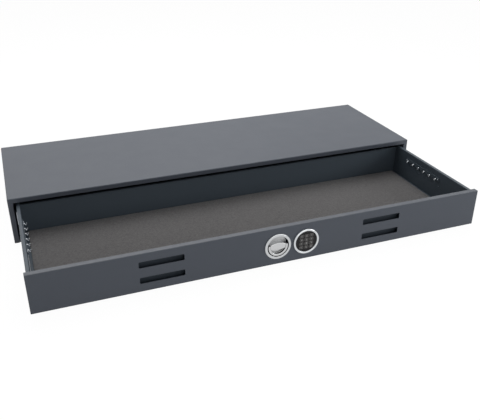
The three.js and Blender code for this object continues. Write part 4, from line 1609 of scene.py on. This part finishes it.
@dataclass
class DrawerFront(SubAssembly):
    """The drawer's front: one pan with four slots, the handle's hole and a hole for each bolt."""

    nodes: tuple[str, ...] = ("drawer_front_skin", "drawer_front_rim")
    sheet: float = 2.5
    rim_sheet: float = 2.0
    bend: float = 1.8
    inner_bend: float = 0.5
    eased: float = 0.35
    slot_half: Point = (67.0, 10.0)
    slot_radius: float = 3.5
    slot_spread: Point = (360.0, 26.0)
    handle_hole: float = 37.3
    cable_hole: float = 4.0
    cable_height: float = 108.0
    bolt_hole: float = 5.6
    bolt_depth: float = 9.0
    hole_sides: int = 32
    cut_edge: float = 0.45
    # How strongly the pan's top is painted lighter, as a painted highlight.
    ledge_highlight: float = 1.4

    def _pan(self) -> Shape:
        """Draws the pan without its holes.

        Returns:
            The pan.
        """
        extent = self.extent
        front, back, size = extent.low.y, extent.high.y, extent.size
        rim, ease, bend = self.rim_sheet, self.eased, self.inner_bend
        section = [
            *arc((rim + bend, front + self.sheet + bend), bend, 270, 180, steps=3),
            (rim, back - ease), (rim - ease, back), (ease, back), (0, back - ease),
            *arc((self.bend, front + self.bend), self.bend, 180, 270),
        ]
        loops = []
        for inset, place_y in section:
            half = (size.x / 2 - inset, size.z / 2 - inset)
            outline = rounded_rectangle(extent.centre, half, max(self.bend - inset, 0))
            loops.append([in_space(Axis.Y, point, place_y) for point in outline])
        return Shape.of_loops(loops)

    def _tools(self) -> list[Shape]:
        """Draws the tools that cut the slots and the holes.

        Returns:
            The tools, in the order that they cut in.
        """
        extent = self.extent
        height, front = extent.middle.z, extent.low.y
        through = (-OVERRUN, self.sheet + OVERRUN)
        spread_x, spread_z = self.slot_spread
        slot = Shape.prism(
            Axis.Y, rounded_rectangle((0, 0), self.slot_half, self.slot_radius), *through)
        slots = repeated(slot, Grid(
            (-spread_x, front, height - spread_z), (2 * spread_x, 0, 0), 2, (0, 0, 2 * spread_z), 2))
        ends = (front + through[0], front + through[1])
        keypad_x = Extent.of("keypad_face").middle.x
        reach = extent.high.x + OVERRUN
        return [
            slots,
            Shape.rod(Axis.Y, (0, height), self.handle_hole, ends),
            Shape.rod(Axis.Y, (keypad_x, self.cable_height), self.cable_hole, ends, self.hole_sides),
            Shape.rod(
                Axis.X, (front + self.bolt_depth, height), self.bolt_hole, (-reach, reach), self.hole_sides)]

    def build(self) -> list[Object]:
        """Builds the pan and the plate that closes it at the back.

        Returns:
            The pan and the plate.
        """
        ledge = self.extent.high.z - self.bend

        def painted_ledge_highlight(middle: Vector, normal: Vector) -> float:
            """Marks the pan's top and its front bend with a painted highlight, laid on like a rubbed edge.
            """
            return self.ledge_highlight if middle.z > ledge and normal.z > LEANING else 0.0

        def inside(_: Vector, normal: Vector) -> float:
            """Marks the side that faces the closed space in the front with painted shade."""
            return float(normal.y < -FACING)

        pan = self._pan().cut(*self._tools()).softened(self.cut_edge, steps=3)
        plate = "drawer_front_inner"
        closing = Shape.of_node(plate).softened(self.eased).marked(PAINTED_SHADE, inside).shaded()
        return [
            place(Piece("drawer_front_pan", "drawer", GRAPHITE_COAT, self.nodes),
                  pan.marked(WORN_EDGE_AND_HIGHLIGHT, painted_ledge_highlight).shaded()),
            place(Piece(f"{plate}_piece", "drawer", SHADED_INNER_COAT, (plate,)), closing)]


@dataclass
class DrawerTray(SubAssembly):
    """The tray behind the front: walls, back, floor and the stiffeners under it."""

    edge: float = 0.3
    weld: RivetHead = RivetHead(radius=2.6, height=0.25, sides=16)
    weld_count: int = 22
    weld_inset: float = 40.0
    brim: float = 14.0
    brim_sheet: float = 1.5
    plates: tuple[str, ...] = (
        "right_drawer_wall", "left_drawer_wall", "drawer_back", "drawer_floor",
        "floor_stiffener_front", "floor_stiffener_rear")

    def _welds(self, stiffener: str) -> Object:
        """Marks the spot welds along both brims of a stiffener, seen from below.

        Args:
            stiffener: The stiffener's node.

        Returns:
            All its weld marks.
        """
        extent = Extent.of(stiffener)
        run = extent.size.x - 2 * self.weld_inset
        start = (
            extent.low.x + self.weld_inset, extent.low.y + self.brim / 2, extent.high.z - self.brim_sheet)
        grid = Grid(
            start, (run / (self.weld_count - 1), 0, 0), self.weld_count,
            (0, extent.size.y - self.brim, 0), 2, spin_axis=(0, 0, 1), spin=math.pi, seed=5)
        marks = repeated(self.weld.shape().rotated(90, "X"), grid, SHADED_INNER_COAT)
        return place(Piece(f"{stiffener}_welds", "drawer", SHADED_INNER_COAT), marks)

    def build(self) -> list[Object]:
        """Builds the tray's plates and their weld marks."""
        made = [softened_node(node, "drawer", SHADED_INNER_COAT, self.edge) for node in self.plates]
        return [*made, *[self._welds(node) for node in self.plates if "stiffener" in node]]


@dataclass
class FeltMat(SubAssembly):
    """The felt that lines the drawer's floor, a loose sheet with a soft cut edge."""

    nodes: tuple[str, ...] = ("floor_mat",)
    lift: float = 0.15
    roll: float = 1.3
    roll_angles: tuple[int, ...] = (30, 60, 90)
    waves: float = 0.35
    cells: tuple[int, int] = (180, 56)
    wave_scale: float = 0.012
    quick_scale: float = 9.0
    quick_share: float = 0.3
    quick_level: float = 40.0
    slack: float = 0.01

    def _height(self, x: float, y: float) -> float:
        """How far the felt's top dips at a place.

        Args:
            x: The place from side to side.
            y: The place from front to back.

        Returns:
            The dip, as a height below 0.
        """
        slow = noise.noise(Vector((x, y, 0)) * self.wave_scale)
        quick = noise.noise(Vector((x, y, self.quick_level)) * self.wave_scale * self.quick_scale)
        return self.waves * ((1 - self.quick_share) * slow + self.quick_share * quick - 1) / 2

    def _row(self, low: float, high: float, cells: int) -> list[float]:
        """Even places between two ends, where the rolled edge starts."""
        start, end = low + self.roll, high - self.roll
        return [start + (end - start) * cell / cells for cell in range(cells + 1)]

    def _outward(self, value: float, middle: float, half: float, reach: float) -> float:
        """Moves a point of the edge out along an axis, unless the edge runs along that axis there."""
        at_end = abs(value - middle) > half - self.roll - self.slack
        return value + math.copysign(reach, value - middle) * at_end

    def _rolled(self, bm: bmesh.types.BMesh, edge: list[bmesh.types.BMVert]) -> None:
        """Rolls the edge over and closes the sheet underneath.

        Args:
            bm: The drawing.
            edge: The points round the sheet's top.
        """
        middle, half, bottom = self.extent.middle, self.extent.size / 2, self.extent.low.z - self.lift
        turns = [math.radians(angle) for angle in self.roll_angles]
        levels = [(self.roll * math.sin(turn), self.roll * (1 - math.cos(turn))) for turn in turns]
        previous = edge
        for reach, drop in [*levels, (self.roll, None)]:
            loop = []
            for vertex in edge:
                x, y, z = vertex.co
                loop.append(bm.verts.new((
                    self._outward(x, middle.x, half.x, reach), self._outward(y, middle.y, half.y, reach),
                    bottom if drop is None else z - drop)))
            for corners in zip(next_round(previous), previous, loop, next_round(loop)):
                bm.faces.new(corners)
            previous = loop
        bm.faces.new(previous)

    def build(self) -> list[Object]:
        """Draws the felt's top as a grid, and rolls its edge over.

        Returns:
            The mat.
        """
        low, high, size = self.extent.low, self.extent.high, self.extent.size
        bm = bmesh.new()
        xs = self._row(low.x, high.x, self.cells[0])
        ys = self._row(low.y, high.y, self.cells[1])
        rows = [[bm.verts.new((x, y, high.z + self._height(x, y))) for x in xs] for y in ys]
        for lower, upper in zip(rows, rows[1:]):
            for corners in zip(lower, lower[1:], upper[1:], upper):
                bm.faces.new(corners)
        right, left = [row[-1] for row in rows[1:]], [row[0] for row in rows[-2:0:-1]]
        self._rolled(bm, [*rows[0], *right, *rows[-1][-2::-1], *left])
        bmesh.ops.recalc_face_normals(bm, faces=bm.faces)
        for face in bm.faces:
            face.smooth = len(face.verts) == 4
        mat = place(Piece("felt_mat", "drawer", FELT, self.nodes), Shape.of_bmesh(bm))
        return [mat]


@dataclass
class KeyRail(SubAssembly):
    """A flat strip of steel on each wall, with a row of bent wire hooks, drawn for the right wall."""

    nodes: tuple[str, ...] = ("right_key_rail",)
    sheet: float = 2.0
    height: float = 14.0
    corner: float = 2.5
    edge: float = 0.3
    wire: float = 1.5
    wire_sides: int = 12
    wire_edge: float = 0.4
    reach: float = 9.0
    drop: float = 6.0
    tip: float = 4.0
    hooks: int = 6
    route_steps: int = 5
    screw: ScrewHead = ScrewHead(radius=2.6, height=1.2, recess_depth=0.8, blade=0.7)
    screw_inset: float = 7.0

    def _strip(self) -> Shape:
        """Draws the strip with its round corners.

        Returns:
            The strip.
        """
        extent = self.extent
        middle = (extent.middle.y, extent.high.z - self.height / 2)
        outline = rounded_rectangle(middle, (extent.size.y / 2, self.height / 2), self.corner)
        strip = Shape.prism(Axis.X, outline, extent.high.x - self.sheet, extent.high.x)
        return strip.softened(self.edge).shaded()

    def _hooks(self) -> Shape:
        """Bends the wire for one hook and sets the row.

        Returns:
            The hooks.
        """
        extent = self.extent
        face, height = extent.high.x - self.sheet, extent.high.z - self.height / 2
        pitch = extent.size.y / self.hooks
        y, middle = extent.low.y + pitch / 2, height - self.drop / 2
        route = smooth_route([
            (face + self.sheet / 2, y, height),
            (face - self.reach / 3, y, height),
            (face - self.reach / 2, y, middle),
            (face - self.reach * 3 / 4, y, height - self.drop),
            (face - self.reach, y, middle),
            (face - self.reach, y, middle + self.tip),
        ], self.route_steps)
        bm = bmesh.new()
        points = [bm.verts.new(point) for point in route]
        for ends in zip(points, points[1:]):
            bm.edges.new(ends)
        row = node_shape(Shape.of_bmesh(bm), bent_wires(), {
            "Wire Radius": self.wire, "Wire Sides": self.wire_sides, "Step": (0, pitch, 0),
            "Count": self.hooks, "Material": material_of(ZINC_PLATE)})
        return row.softened(self.wire_edge).shaded()

    def _screws(self) -> Shape:
        """Sets a screw near each end of the strip.

        Returns:
            Both screws.
        """
        extent = self.extent
        start = (
            extent.high.x - self.sheet, extent.low.y + self.screw_inset, extent.high.z - self.height / 2)
        run = (0, extent.size.y - 2 * self.screw_inset, 0)
        head = self.screw.shape().rotated(-90, "Z")
        return repeated(head, Grid(start, run, 2, spin_axis=(1, 0, 0), spin=math.pi, seed=11), ZINC_PLATE)

    def build(self) -> list[Object]:
        """Builds the strip, the hooks and the screws on both walls.

        Returns:
            The pieces of both rails.
        """
        made = []
        for side in Side:
            node = f"{side.word}_key_rail"
            for name, finish, draw, stands_for in (
                    ("key_strip", SHADED_INNER_COAT, self._strip, (node,)),
                    ("key_hooks", ZINC_PLATE, self._hooks, (node,)),
                    ("key_strip_screws", ZINC_PLATE, self._screws, ())):
                piece = Piece(f"{side.word}_{name}", "drawer", finish, stands_for)
                made.append(place(piece, draw().on_side(side)))
        return made


@dataclass
class TurningHandle(SubAssembly):
    """The fixed ring, and the cup that turns in it with a barrel-shaped grip across its mouth."""

    band: float = 8.0
    sleeve: float = 2.0
    seat_gap: float = 0.3
    ring_edge: float = 1.9
    ring_crown: float = 0.35
    ring_inner_edge: float = 0.6
    cup_wall: float = 6.6
    cup_floor: float = 2.2
    cup_fillet: float = 1.2
    rim_edge: float = 1.1
    rim_outer_edge: float = 0.6
    rim_rise: float = 5.5
    lower_pocket: float = 8.5
    grip_rise: float = 12.0
    grip_drop: float = 12.0
    grip_end_drop: float = 7.0
    grip_round: float = 1.6
    grip_crown: float = 0.5
    crown_shares: tuple[float, ...] = (0.7, 0.4, 0.15)
    grip_sink: float = 0.7
    grip_steps: int = 28
    seam_width: float = 0.6
    seam_depth: float = 0.8
    cut_edge: float = 0.3
    # The depth to which the sleeve stays lit from its front, the heights where the painted shade in the gap
    # fades out, and how much painted shade the cup's floors and walls get.
    gap_light: float = 8.0
    gap_shade: float = 13.0
    gap_clear: float = 27.0
    floor_shade: float = 0.25
    shelf_shade: float = 0.08
    wall_shade: float = 0.9
    fillet_shade: float = 0.3
    slack: float = 0.1
    ring_metal: Colour = (0.56, 0.57, 0.58, 1)
    grip_metal: Colour = (0.56, 0.56, 0.56, 1)
    sides: int = 128

    def _shade(self, up: float) -> float:
        """How much painted shade the gap round the cup gets at a height: all of it beside the grip, and less
        past it.
        """
        return min(max((self.gap_clear - abs(up)) / (self.gap_clear - self.gap_shade), 0.0), 1.0)

    def _ring(self) -> Object:
        """Turns the ring with its sleeve.

        Returns:
            The ring.
        """
        extent = Extent.of("handle_ring")
        centre, outer = extent.centre, extent.radius
        inner = outer - self.band
        sleeve = inner + self.sleeve
        seat = Extent.of("drawer_front_skin").low.y - self.seat_gap
        front, back, lip = extent.low.y, extent.high.y, self.ring_inner_edge
        shallow = front + self.ring_crown + lip
        deep = shallow + self.gap_light
        profile = [
            (inner, back), (sleeve, back), (sleeve, seat), (outer, seat),
            *crowned_band((inner, outer), front, self.ring_crown, (lip, self.ring_edge)), (inner, deep)]

        def in_gap(middle: Vector, _: Vector) -> float:
            """Marks the sleeve's faces with painted shade: deep in, and right from the front beside the
            grip.

            Args:
                middle: A face's middle.
                _: Its normal, which doesn't count here.

            Returns:
                How much painted shade the face gets.
            """
            if math.dist((middle.x, middle.z), centre) > sleeve or middle.y < shallow:
                return 0.0
            return 1.0 if middle.y > deep else self._shade(middle.z - centre[1])

        ring = Shape.turned(Axis.Y, centre, profile, self.sides).marked(PAINTED_SHADE, in_gap).shaded()
        finish = SatinChrome("satin_chrome_ring", centre, colour=self.ring_metal)
        return place(Piece("handle_ring_piece", "drawer", finish, ("handle_ring",)), ring)

    def _barrel(self, half: float, inset: float) -> list[Point]:
        """Draws the grip's outline between two shallow arcs.

        Args:
            half: Half the grip's length.
            inset: How far the outline is drawn in.

        Returns:
            The outline, about the handle's centre.
        """
        points = []
        for middle, end, sign in (
                (self.grip_rise, self.rim_rise, 1), (self.grip_drop, self.grip_end_drop, -1)):
            sag = middle - end
            radius = (half ** 2 + sag ** 2) / (2 * sag)
            spread = math.degrees(math.asin(half / radius))
            bow = arc((0, middle - inset - radius), radius, 90 - spread, 90 + spread, self.grip_steps)
            points += [(sign * x, sign * z) for x, z in bow]
        return points

    def _grip(self, centre: Point, half: float, front: float, back: float) -> Shape:
        """Draws the grip with rolled edges and a slight crown.

        Args:
            centre: The handle's centre.
            half: Half the grip's length.
            front: Where the grip's front is.
            back: Where its back is.

        Returns:
            The grip.
        """
        bend = self.grip_round
        rolled = arc((bend, front + self.grip_crown + bend), bend, 180, 270, steps=6)
        loops = [
            [(centre[0] + x, level, centre[1] + z) for x, z in self._barrel(half, inset)]
            for inset, level in [(0.0, back), *rolled]]
        middle = (self.grip_rise - self.grip_drop) / 2
        for share in self.crown_shares:
            level = front + self.grip_crown * share ** 2
            loops.append([
                (centre[0] + x * share, level, centre[1] + middle + (z - middle) * share)
                for x, z in self._barrel(half, bend)])
        return Shape.of_loops(loops)

    def _openings(self, centre: Point, radii: Point, front: float, floor: float) -> list[Shape]:
        """Draws what is cut from the cup: the upper pocket, and the rim above the grip.

        Args:
            centre: The handle's centre.
            radii: The radius of the pocket and of the cup.
            front: Where the cup's front is.
            floor: Where the pocket's floor is.

        Returns:
            The two tools.
        """
        inner, outer = radii
        bow = arc(centre, inner, 0, 180, self.sides // 2)
        middle = (centre[0], centre[1] + self.rim_rise + outer)
        gap = rounded_rectangle(middle, (outer + OVERRUN, outer), 0)
        return [Shape.prism(Axis.Y, outline, front - OVERRUN, floor) for outline in (bow, gap)]

    def _seam(self, centre: Point, radius: float, front: float) -> Shape:
        """Draws what is taken off the grip's ends, so that a fine groove parts them from the rim.

        Args:
            centre: The handle's centre.
            radius: The radius inside the rim.
            front: Where the cup's front is.

        Returns:
            The tool.
        """
        near, far, start = radius - self.seam_width, radius + self.cup_wall, front - OVERRUN
        bottom = front + self.grip_sink + self.grip_crown + self.seam_depth
        profile = [(near, start), (near, bottom), (far, bottom), (far, start)]
        return Shape.turned(Axis.Y, centre, profile, self.sides)

    def _cup(self) -> Object:
        """Turns the cup, opens it above the grip and welds the grip across it.

        Returns:
            The cup with its grip.
        """
        extent = Extent.of("turn_handle")
        centre, outer = extent.centre, extent.radius
        inner = outer - self.cup_wall
        front, back = extent.low.y, extent.high.y
        floor, shelf = back - self.cup_floor, front + self.lower_pocket
        edge, crisp, fillet = self.rim_edge, self.rim_outer_edge, self.cup_fillet
        profile = [
            (0, back), (outer - edge, back), (outer, back - edge),
            *arc((outer - crisp, front + crisp), crisp, 0, -90, steps=5),
            *arc((inner + edge, front + edge), edge, -90, -180, steps=5),
            *arc((inner - fillet, shelf - fillet), fillet, 0, 90, steps=5),
            (0, shelf),
        ]
        cup = Shape.turned(Axis.Y, centre, profile, self.sides)
        cup = cup.cut(*self._openings(centre, (inner, outer), front, floor)).softened(self.cut_edge)
        grip = self._grip(
            centre, inner + self.cup_wall / 2, front + self.grip_sink, floor + self.cup_floor / 2)
        grip = grip.cut(self._seam(centre, inner, front))

        def out_of_light(middle: Vector, normal: Vector) -> float:
            """Marks painted shade on the cup's outside, the rim's left end and the lower pocket's wall, and
            both floors.

            Args:
                middle: A face's middle.
                normal: The face's normal.

            Returns:
                How much painted shade the face gets.
            """
            reach = math.dist((middle.x, middle.z), centre)
            across, up = middle.x - centre[0], middle.z - centre[1]
            if abs(normal.y) < SIDEWAYS and reach > outer - self.slack:
                return self._shade(up)
            if normal.z > FACING and abs(up - self.rim_rise) < edge and across < -inner:
                return 1.0
            if up < 0 and front + edge < middle.y < shelf and abs(reach - inner) < fillet:
                return self.wall_shade if middle.y < shelf - fillet else self.fillet_shade
            if normal.y > -FACING or middle.y < shelf - edge:
                return 0.0
            return self.floor_shade if middle.y > shelf + edge else self.shelf_shade

        finish = SatinChrome("satin_chrome_grip", centre, colour=self.grip_metal)
        whole = cup.welded(grip).marked(PAINTED_SHADE, out_of_light).shaded()
        return place(Piece("handle_cup_and_grip", "turning_handle", finish, ("turn_handle",)), whole)

    def build(self) -> list[Object]:
        """Builds the ring and the cup, and dresses the shaft and the pinion."""
        shaft = [dress("handle_spindle", ZINC_PLATE), dress("drive_pinion", TURNED_BRASS)]
        return [self._ring(), self._cup(), dress("spindle_bush", TURNED_BRASS), *shaft]


@dataclass
class Keypad(SubAssembly):
    """A chromed bezel round a black face, with twelve soft keys that each move by themselves."""

    band: float = 7.0
    bezel_edge: float = 2.4
    bezel_crown: float = 0.3
    face_edge: float = 0.8
    pocket_gap: float = 0.3
    pocket_floor: float = 0.7
    pocket_edge: float = 0.25
    columns: int = 3
    rows: int = 4
    key_radius: float = 2.0
    key_edge: float = 0.8
    dish: float = 0.3
    dish_steps: tuple[Point, ...] = ((0.8, 0.2), (1.6, 0.6), (2.6, 1.0))
    dish_radius: float = 0.4
    number_size: float = 8.8
    number_depth: float = 0.2
    number_sink: float = 0.08
    sides: int = 128
    numbers: tuple[str, ...] = ("1", "2", "3", "4", "5", "6", "7", "8", "9", "*", "0", "#")

    def _bezel(self) -> Object:
        """Turns the bezel.

        Returns:
            The bezel.
        """
        extent = Extent.of("keypad_bezel")
        radii = (extent.radius - self.band, extent.radius)
        band = crowned_band(radii, extent.low.y, self.bezel_crown, (self.bezel_edge, self.bezel_edge))
        profile = [(radius, extent.high.y) for radius in radii] + band
        shape = Shape.turned(Axis.Y, extent.centre, profile, self.sides).shaded()
        finish = SatinChrome("satin_chrome_bezel", extent.centre)
        return place(Piece("keypad_bezel_piece", "drawer", finish, ("keypad_bezel",)), shape)

    def _face(self) -> Object:
        """Turns the face and cuts a pocket for each key.

        Returns:
            The face.
        """
        extent = Extent.of("keypad_face")
        radius, front, back, edge = extent.radius, extent.low.y, extent.high.y, self.face_edge
        bend = arc((radius - edge, front + edge), edge, 0, -90, steps=5)
        profile = [(0, back), (radius, back), *bend, (0, front)]
        key, second, below = [Extent.of(node) for node in ("key_1", "key_2", f"key_{self.columns + 1}")]
        half = (key.size.x / 2 + self.pocket_gap, key.size.z / 2 + self.pocket_gap)
        outline = rounded_rectangle((0, 0), half, self.key_radius + self.pocket_gap)
        pockets = repeated(
            Shape.prism(Axis.Y, outline, front - OVERRUN, back - self.pocket_floor),
            Grid(in_space(Axis.Y, key.centre, 0), tuple(second.middle - key.middle), self.columns,
                 tuple(below.middle - key.middle), self.rows))

        def in_pocket(middle: Vector, _: Vector) -> float:
            """Marks what lies behind the face's rounded edge with painted shade, so that the pockets round
            the keys are dark.
            """
            return float(middle.y > front + edge + self.pocket_gap)

        disc = Shape.turned(Axis.Y, extent.centre, profile, self.sides).cut(pockets)
        shape = disc.softened(self.pocket_edge).marked(PAINTED_SHADE, in_pocket).shaded()
        return place(Piece("keypad_face_piece", "drawer", KEYPAD_SKIN, ("keypad_face",)), shape)

    def _key(self, number: int) -> Object:
        """Draws one key with rolled edges and a dished top.

        Args:
            number: The key's number, from 1.

        Returns:
            The key.
        """
        node = f"key_{number}"
        extent = Extent.of(node)
        half = (extent.size.x / 2, extent.size.z / 2)
        front, edge = extent.low.y, self.key_edge
        levels = [
            (0.0, extent.high.y), *arc((edge, front + edge), edge, 180, 270, steps=5),
            *[(edge + rim, front + self.dish * share) for rim, share in self.dish_steps]]
        loops = []
        for inset, level in levels:
            corner = max(self.key_radius - inset, self.dish_radius)
            outline = rounded_rectangle(extent.centre, (half[0] - inset, half[1] - inset), corner)
            loops.append([in_space(Axis.Y, point, level) for point in outline])

        def on_rim(middle: Vector, normal: Vector) -> float:
            """Marks the rolled edge round the key's top."""
            return float(middle.y < front + edge and normal.y > -FLAT)

        shape = Shape.of_loops(loops).marked(WORN_EDGE_AND_HIGHLIGHT, on_rim).shaded()
        return place(Piece(f"{node}_piece", f"{node}_cap", KEY_RUBBER, (node,)), shape)

    def _number(self, number: int) -> Object:
        """Prints a key's character on its dished top.

        Args:
            number: The key's number, from 1.

        Returns:
            The character.
        """
        extent = Extent.of(f"key_{number}")
        sign = Shape.lettering(self.numbers[number - 1], self.number_size, self.number_depth)
        level = extent.low.y + self.dish + self.number_depth / 2 - self.number_sink
        shape = sign.moved(in_space(Axis.Y, extent.centre, level))
        return place(Piece(f"key_{number}_number", f"key_{number}_cap", NUMBER_INK), shape)

    def build(self) -> list[Object]:
        """Builds the bezel, the face, and each key with its number."""
        keys = range(1, len(self.numbers) + 1)
        return [self._bezel(), self._face(), *map(self._key, keys), *map(self._number, keys)]


@dataclass
class BoltWork(SubAssembly):
    """The rods and bolts, the racks that throw them, and their guides."""

    rod: float = 4.0
    rod_chamfer: float = 0.5
    bolt: float = 5.0
    bolt_chamfer: float = 0.4
    bolt_length: float = 60.0
    nose: float = 1.2
    collar: float = 6.2
    collar_length: float = 2.7
    lug: Point = (50.0, 58.0)
    gap: float = 0.3
    guide_edge: float = 0.5
    sides: int = 40

    def _rod(self, side: Side) -> Object:
        """Turns a rod with its collars and its bolt.

        Args:
            side: The side that it is on.

        Returns:
            The rod.
        """
        extent = Extent.of("right_bolt")
        start, tip = extent.low.x, extent.high.x
        step, rod, bolt = tip - self.bolt_length, self.rod, self.bolt
        profile = [(0, start), (rod - self.rod_chamfer, start), (rod, start + self.rod_chamfer)]
        for first in (self.lug[0] - self.gap - self.collar_length, self.lug[1] + self.gap):
            last = first + self.collar_length
            profile += [(rod, first), (self.collar, first), (self.collar, last), (rod, last)]
        profile += [(rod, step), (bolt - self.bolt_chamfer, step), (bolt, step + self.bolt_chamfer)]
        profile += [(bolt, tip - self.nose), (bolt - self.nose, tip), (0, tip)]
        shape = Shape.turned(Axis.X, (extent.middle.y, extent.middle.z), profile, self.sides)
        node = f"{side.word}_bolt"
        bar = Piece(f"{node}_bar", f"{side.word}_boltwork", ZINC_PLATE, (node,))
        return place(bar, shape.on_side(side).shaded())

    def build(self) -> list[Object]:
        """Builds both rods and their guides, and dresses the racks.

        Returns:
            The pieces of both sides.
        """
        made = [self._rod(side) for side in Side]
        made += [dress(f"{side.word}_rack", ZINC_PLATE) for side in Side]
        guides = [f"{side.word}_rod_guide" for side in Side]
        return made + [softened_node(guide, "drawer", BLACK_ABS, self.guide_edge) for guide in guides]


@dataclass
class LockHousing(SubAssembly):
    """The lock body, its plunger and the battery box, under a folded cover."""

    ear: float = 12.0
    ear_sheet: float = 1.2
    screw: ScrewHead = ScrewHead(radius=4.0, height=2.0)
    cover_edge: float = 0.3
    body_edge: float = 0.6

    def build(self) -> list[Object]:
        """Builds the cover with its screws, and dresses what it covers.

        Returns:
            The lock's pieces.
        """
        cover = Extent.of("lock_cover")
        start = (cover.low.x + self.ear / 2, cover.low.y + self.ear_sheet, cover.middle.z)
        run = (cover.size.x - self.ear, 0, 0)
        head = self.screw.shape().rotated(180, "Z")
        screws = repeated(head, Grid(start, run, 2, spin=math.pi, seed=2), ZINC_PLATE)
        return [
            softened_node("lock_cover", "drawer", SHADED_INNER_COAT, self.cover_edge),
            place(Piece("lock_cover_screws", "drawer", ZINC_PLATE), screws),
            softened_node("lock_body", "drawer", BLACK_ABS, self.body_edge),
            dress("battery_box", BLACK_ABS),
            dress("lock_plunger", ZINC_PLATE),
        ]


@dataclass
class DrawerSafe:
    """The whole safe, built sub-assembly by sub-assembly."""

    parts: ClassVar[tuple[type[SubAssembly], ...]] = (
        LockCable, CasingShell, SlideRails, DrawerFront, DrawerTray, FeltMat, KeyRail, TurningHandle,
        Keypad, BoltWork, LockHousing)

    def build(self) -> None:
        """Builds every sub-assembly in order and reports its pieces."""
        for part in self.parts:
            for piece in part().build():
                LOG.info("%s: %s, %d faces", part.__name__, piece.name, len(piece.data.polygons))


def main() -> None:
    """Builds the camera, the safe and the studio."""
    logging.basicConfig(level=logging.INFO, format="%(name)s %(message)s")
    PhotographCamera().build()
    DrawerSafe().build()
    Studio().build()


if __name__ == "__main__":
    main()
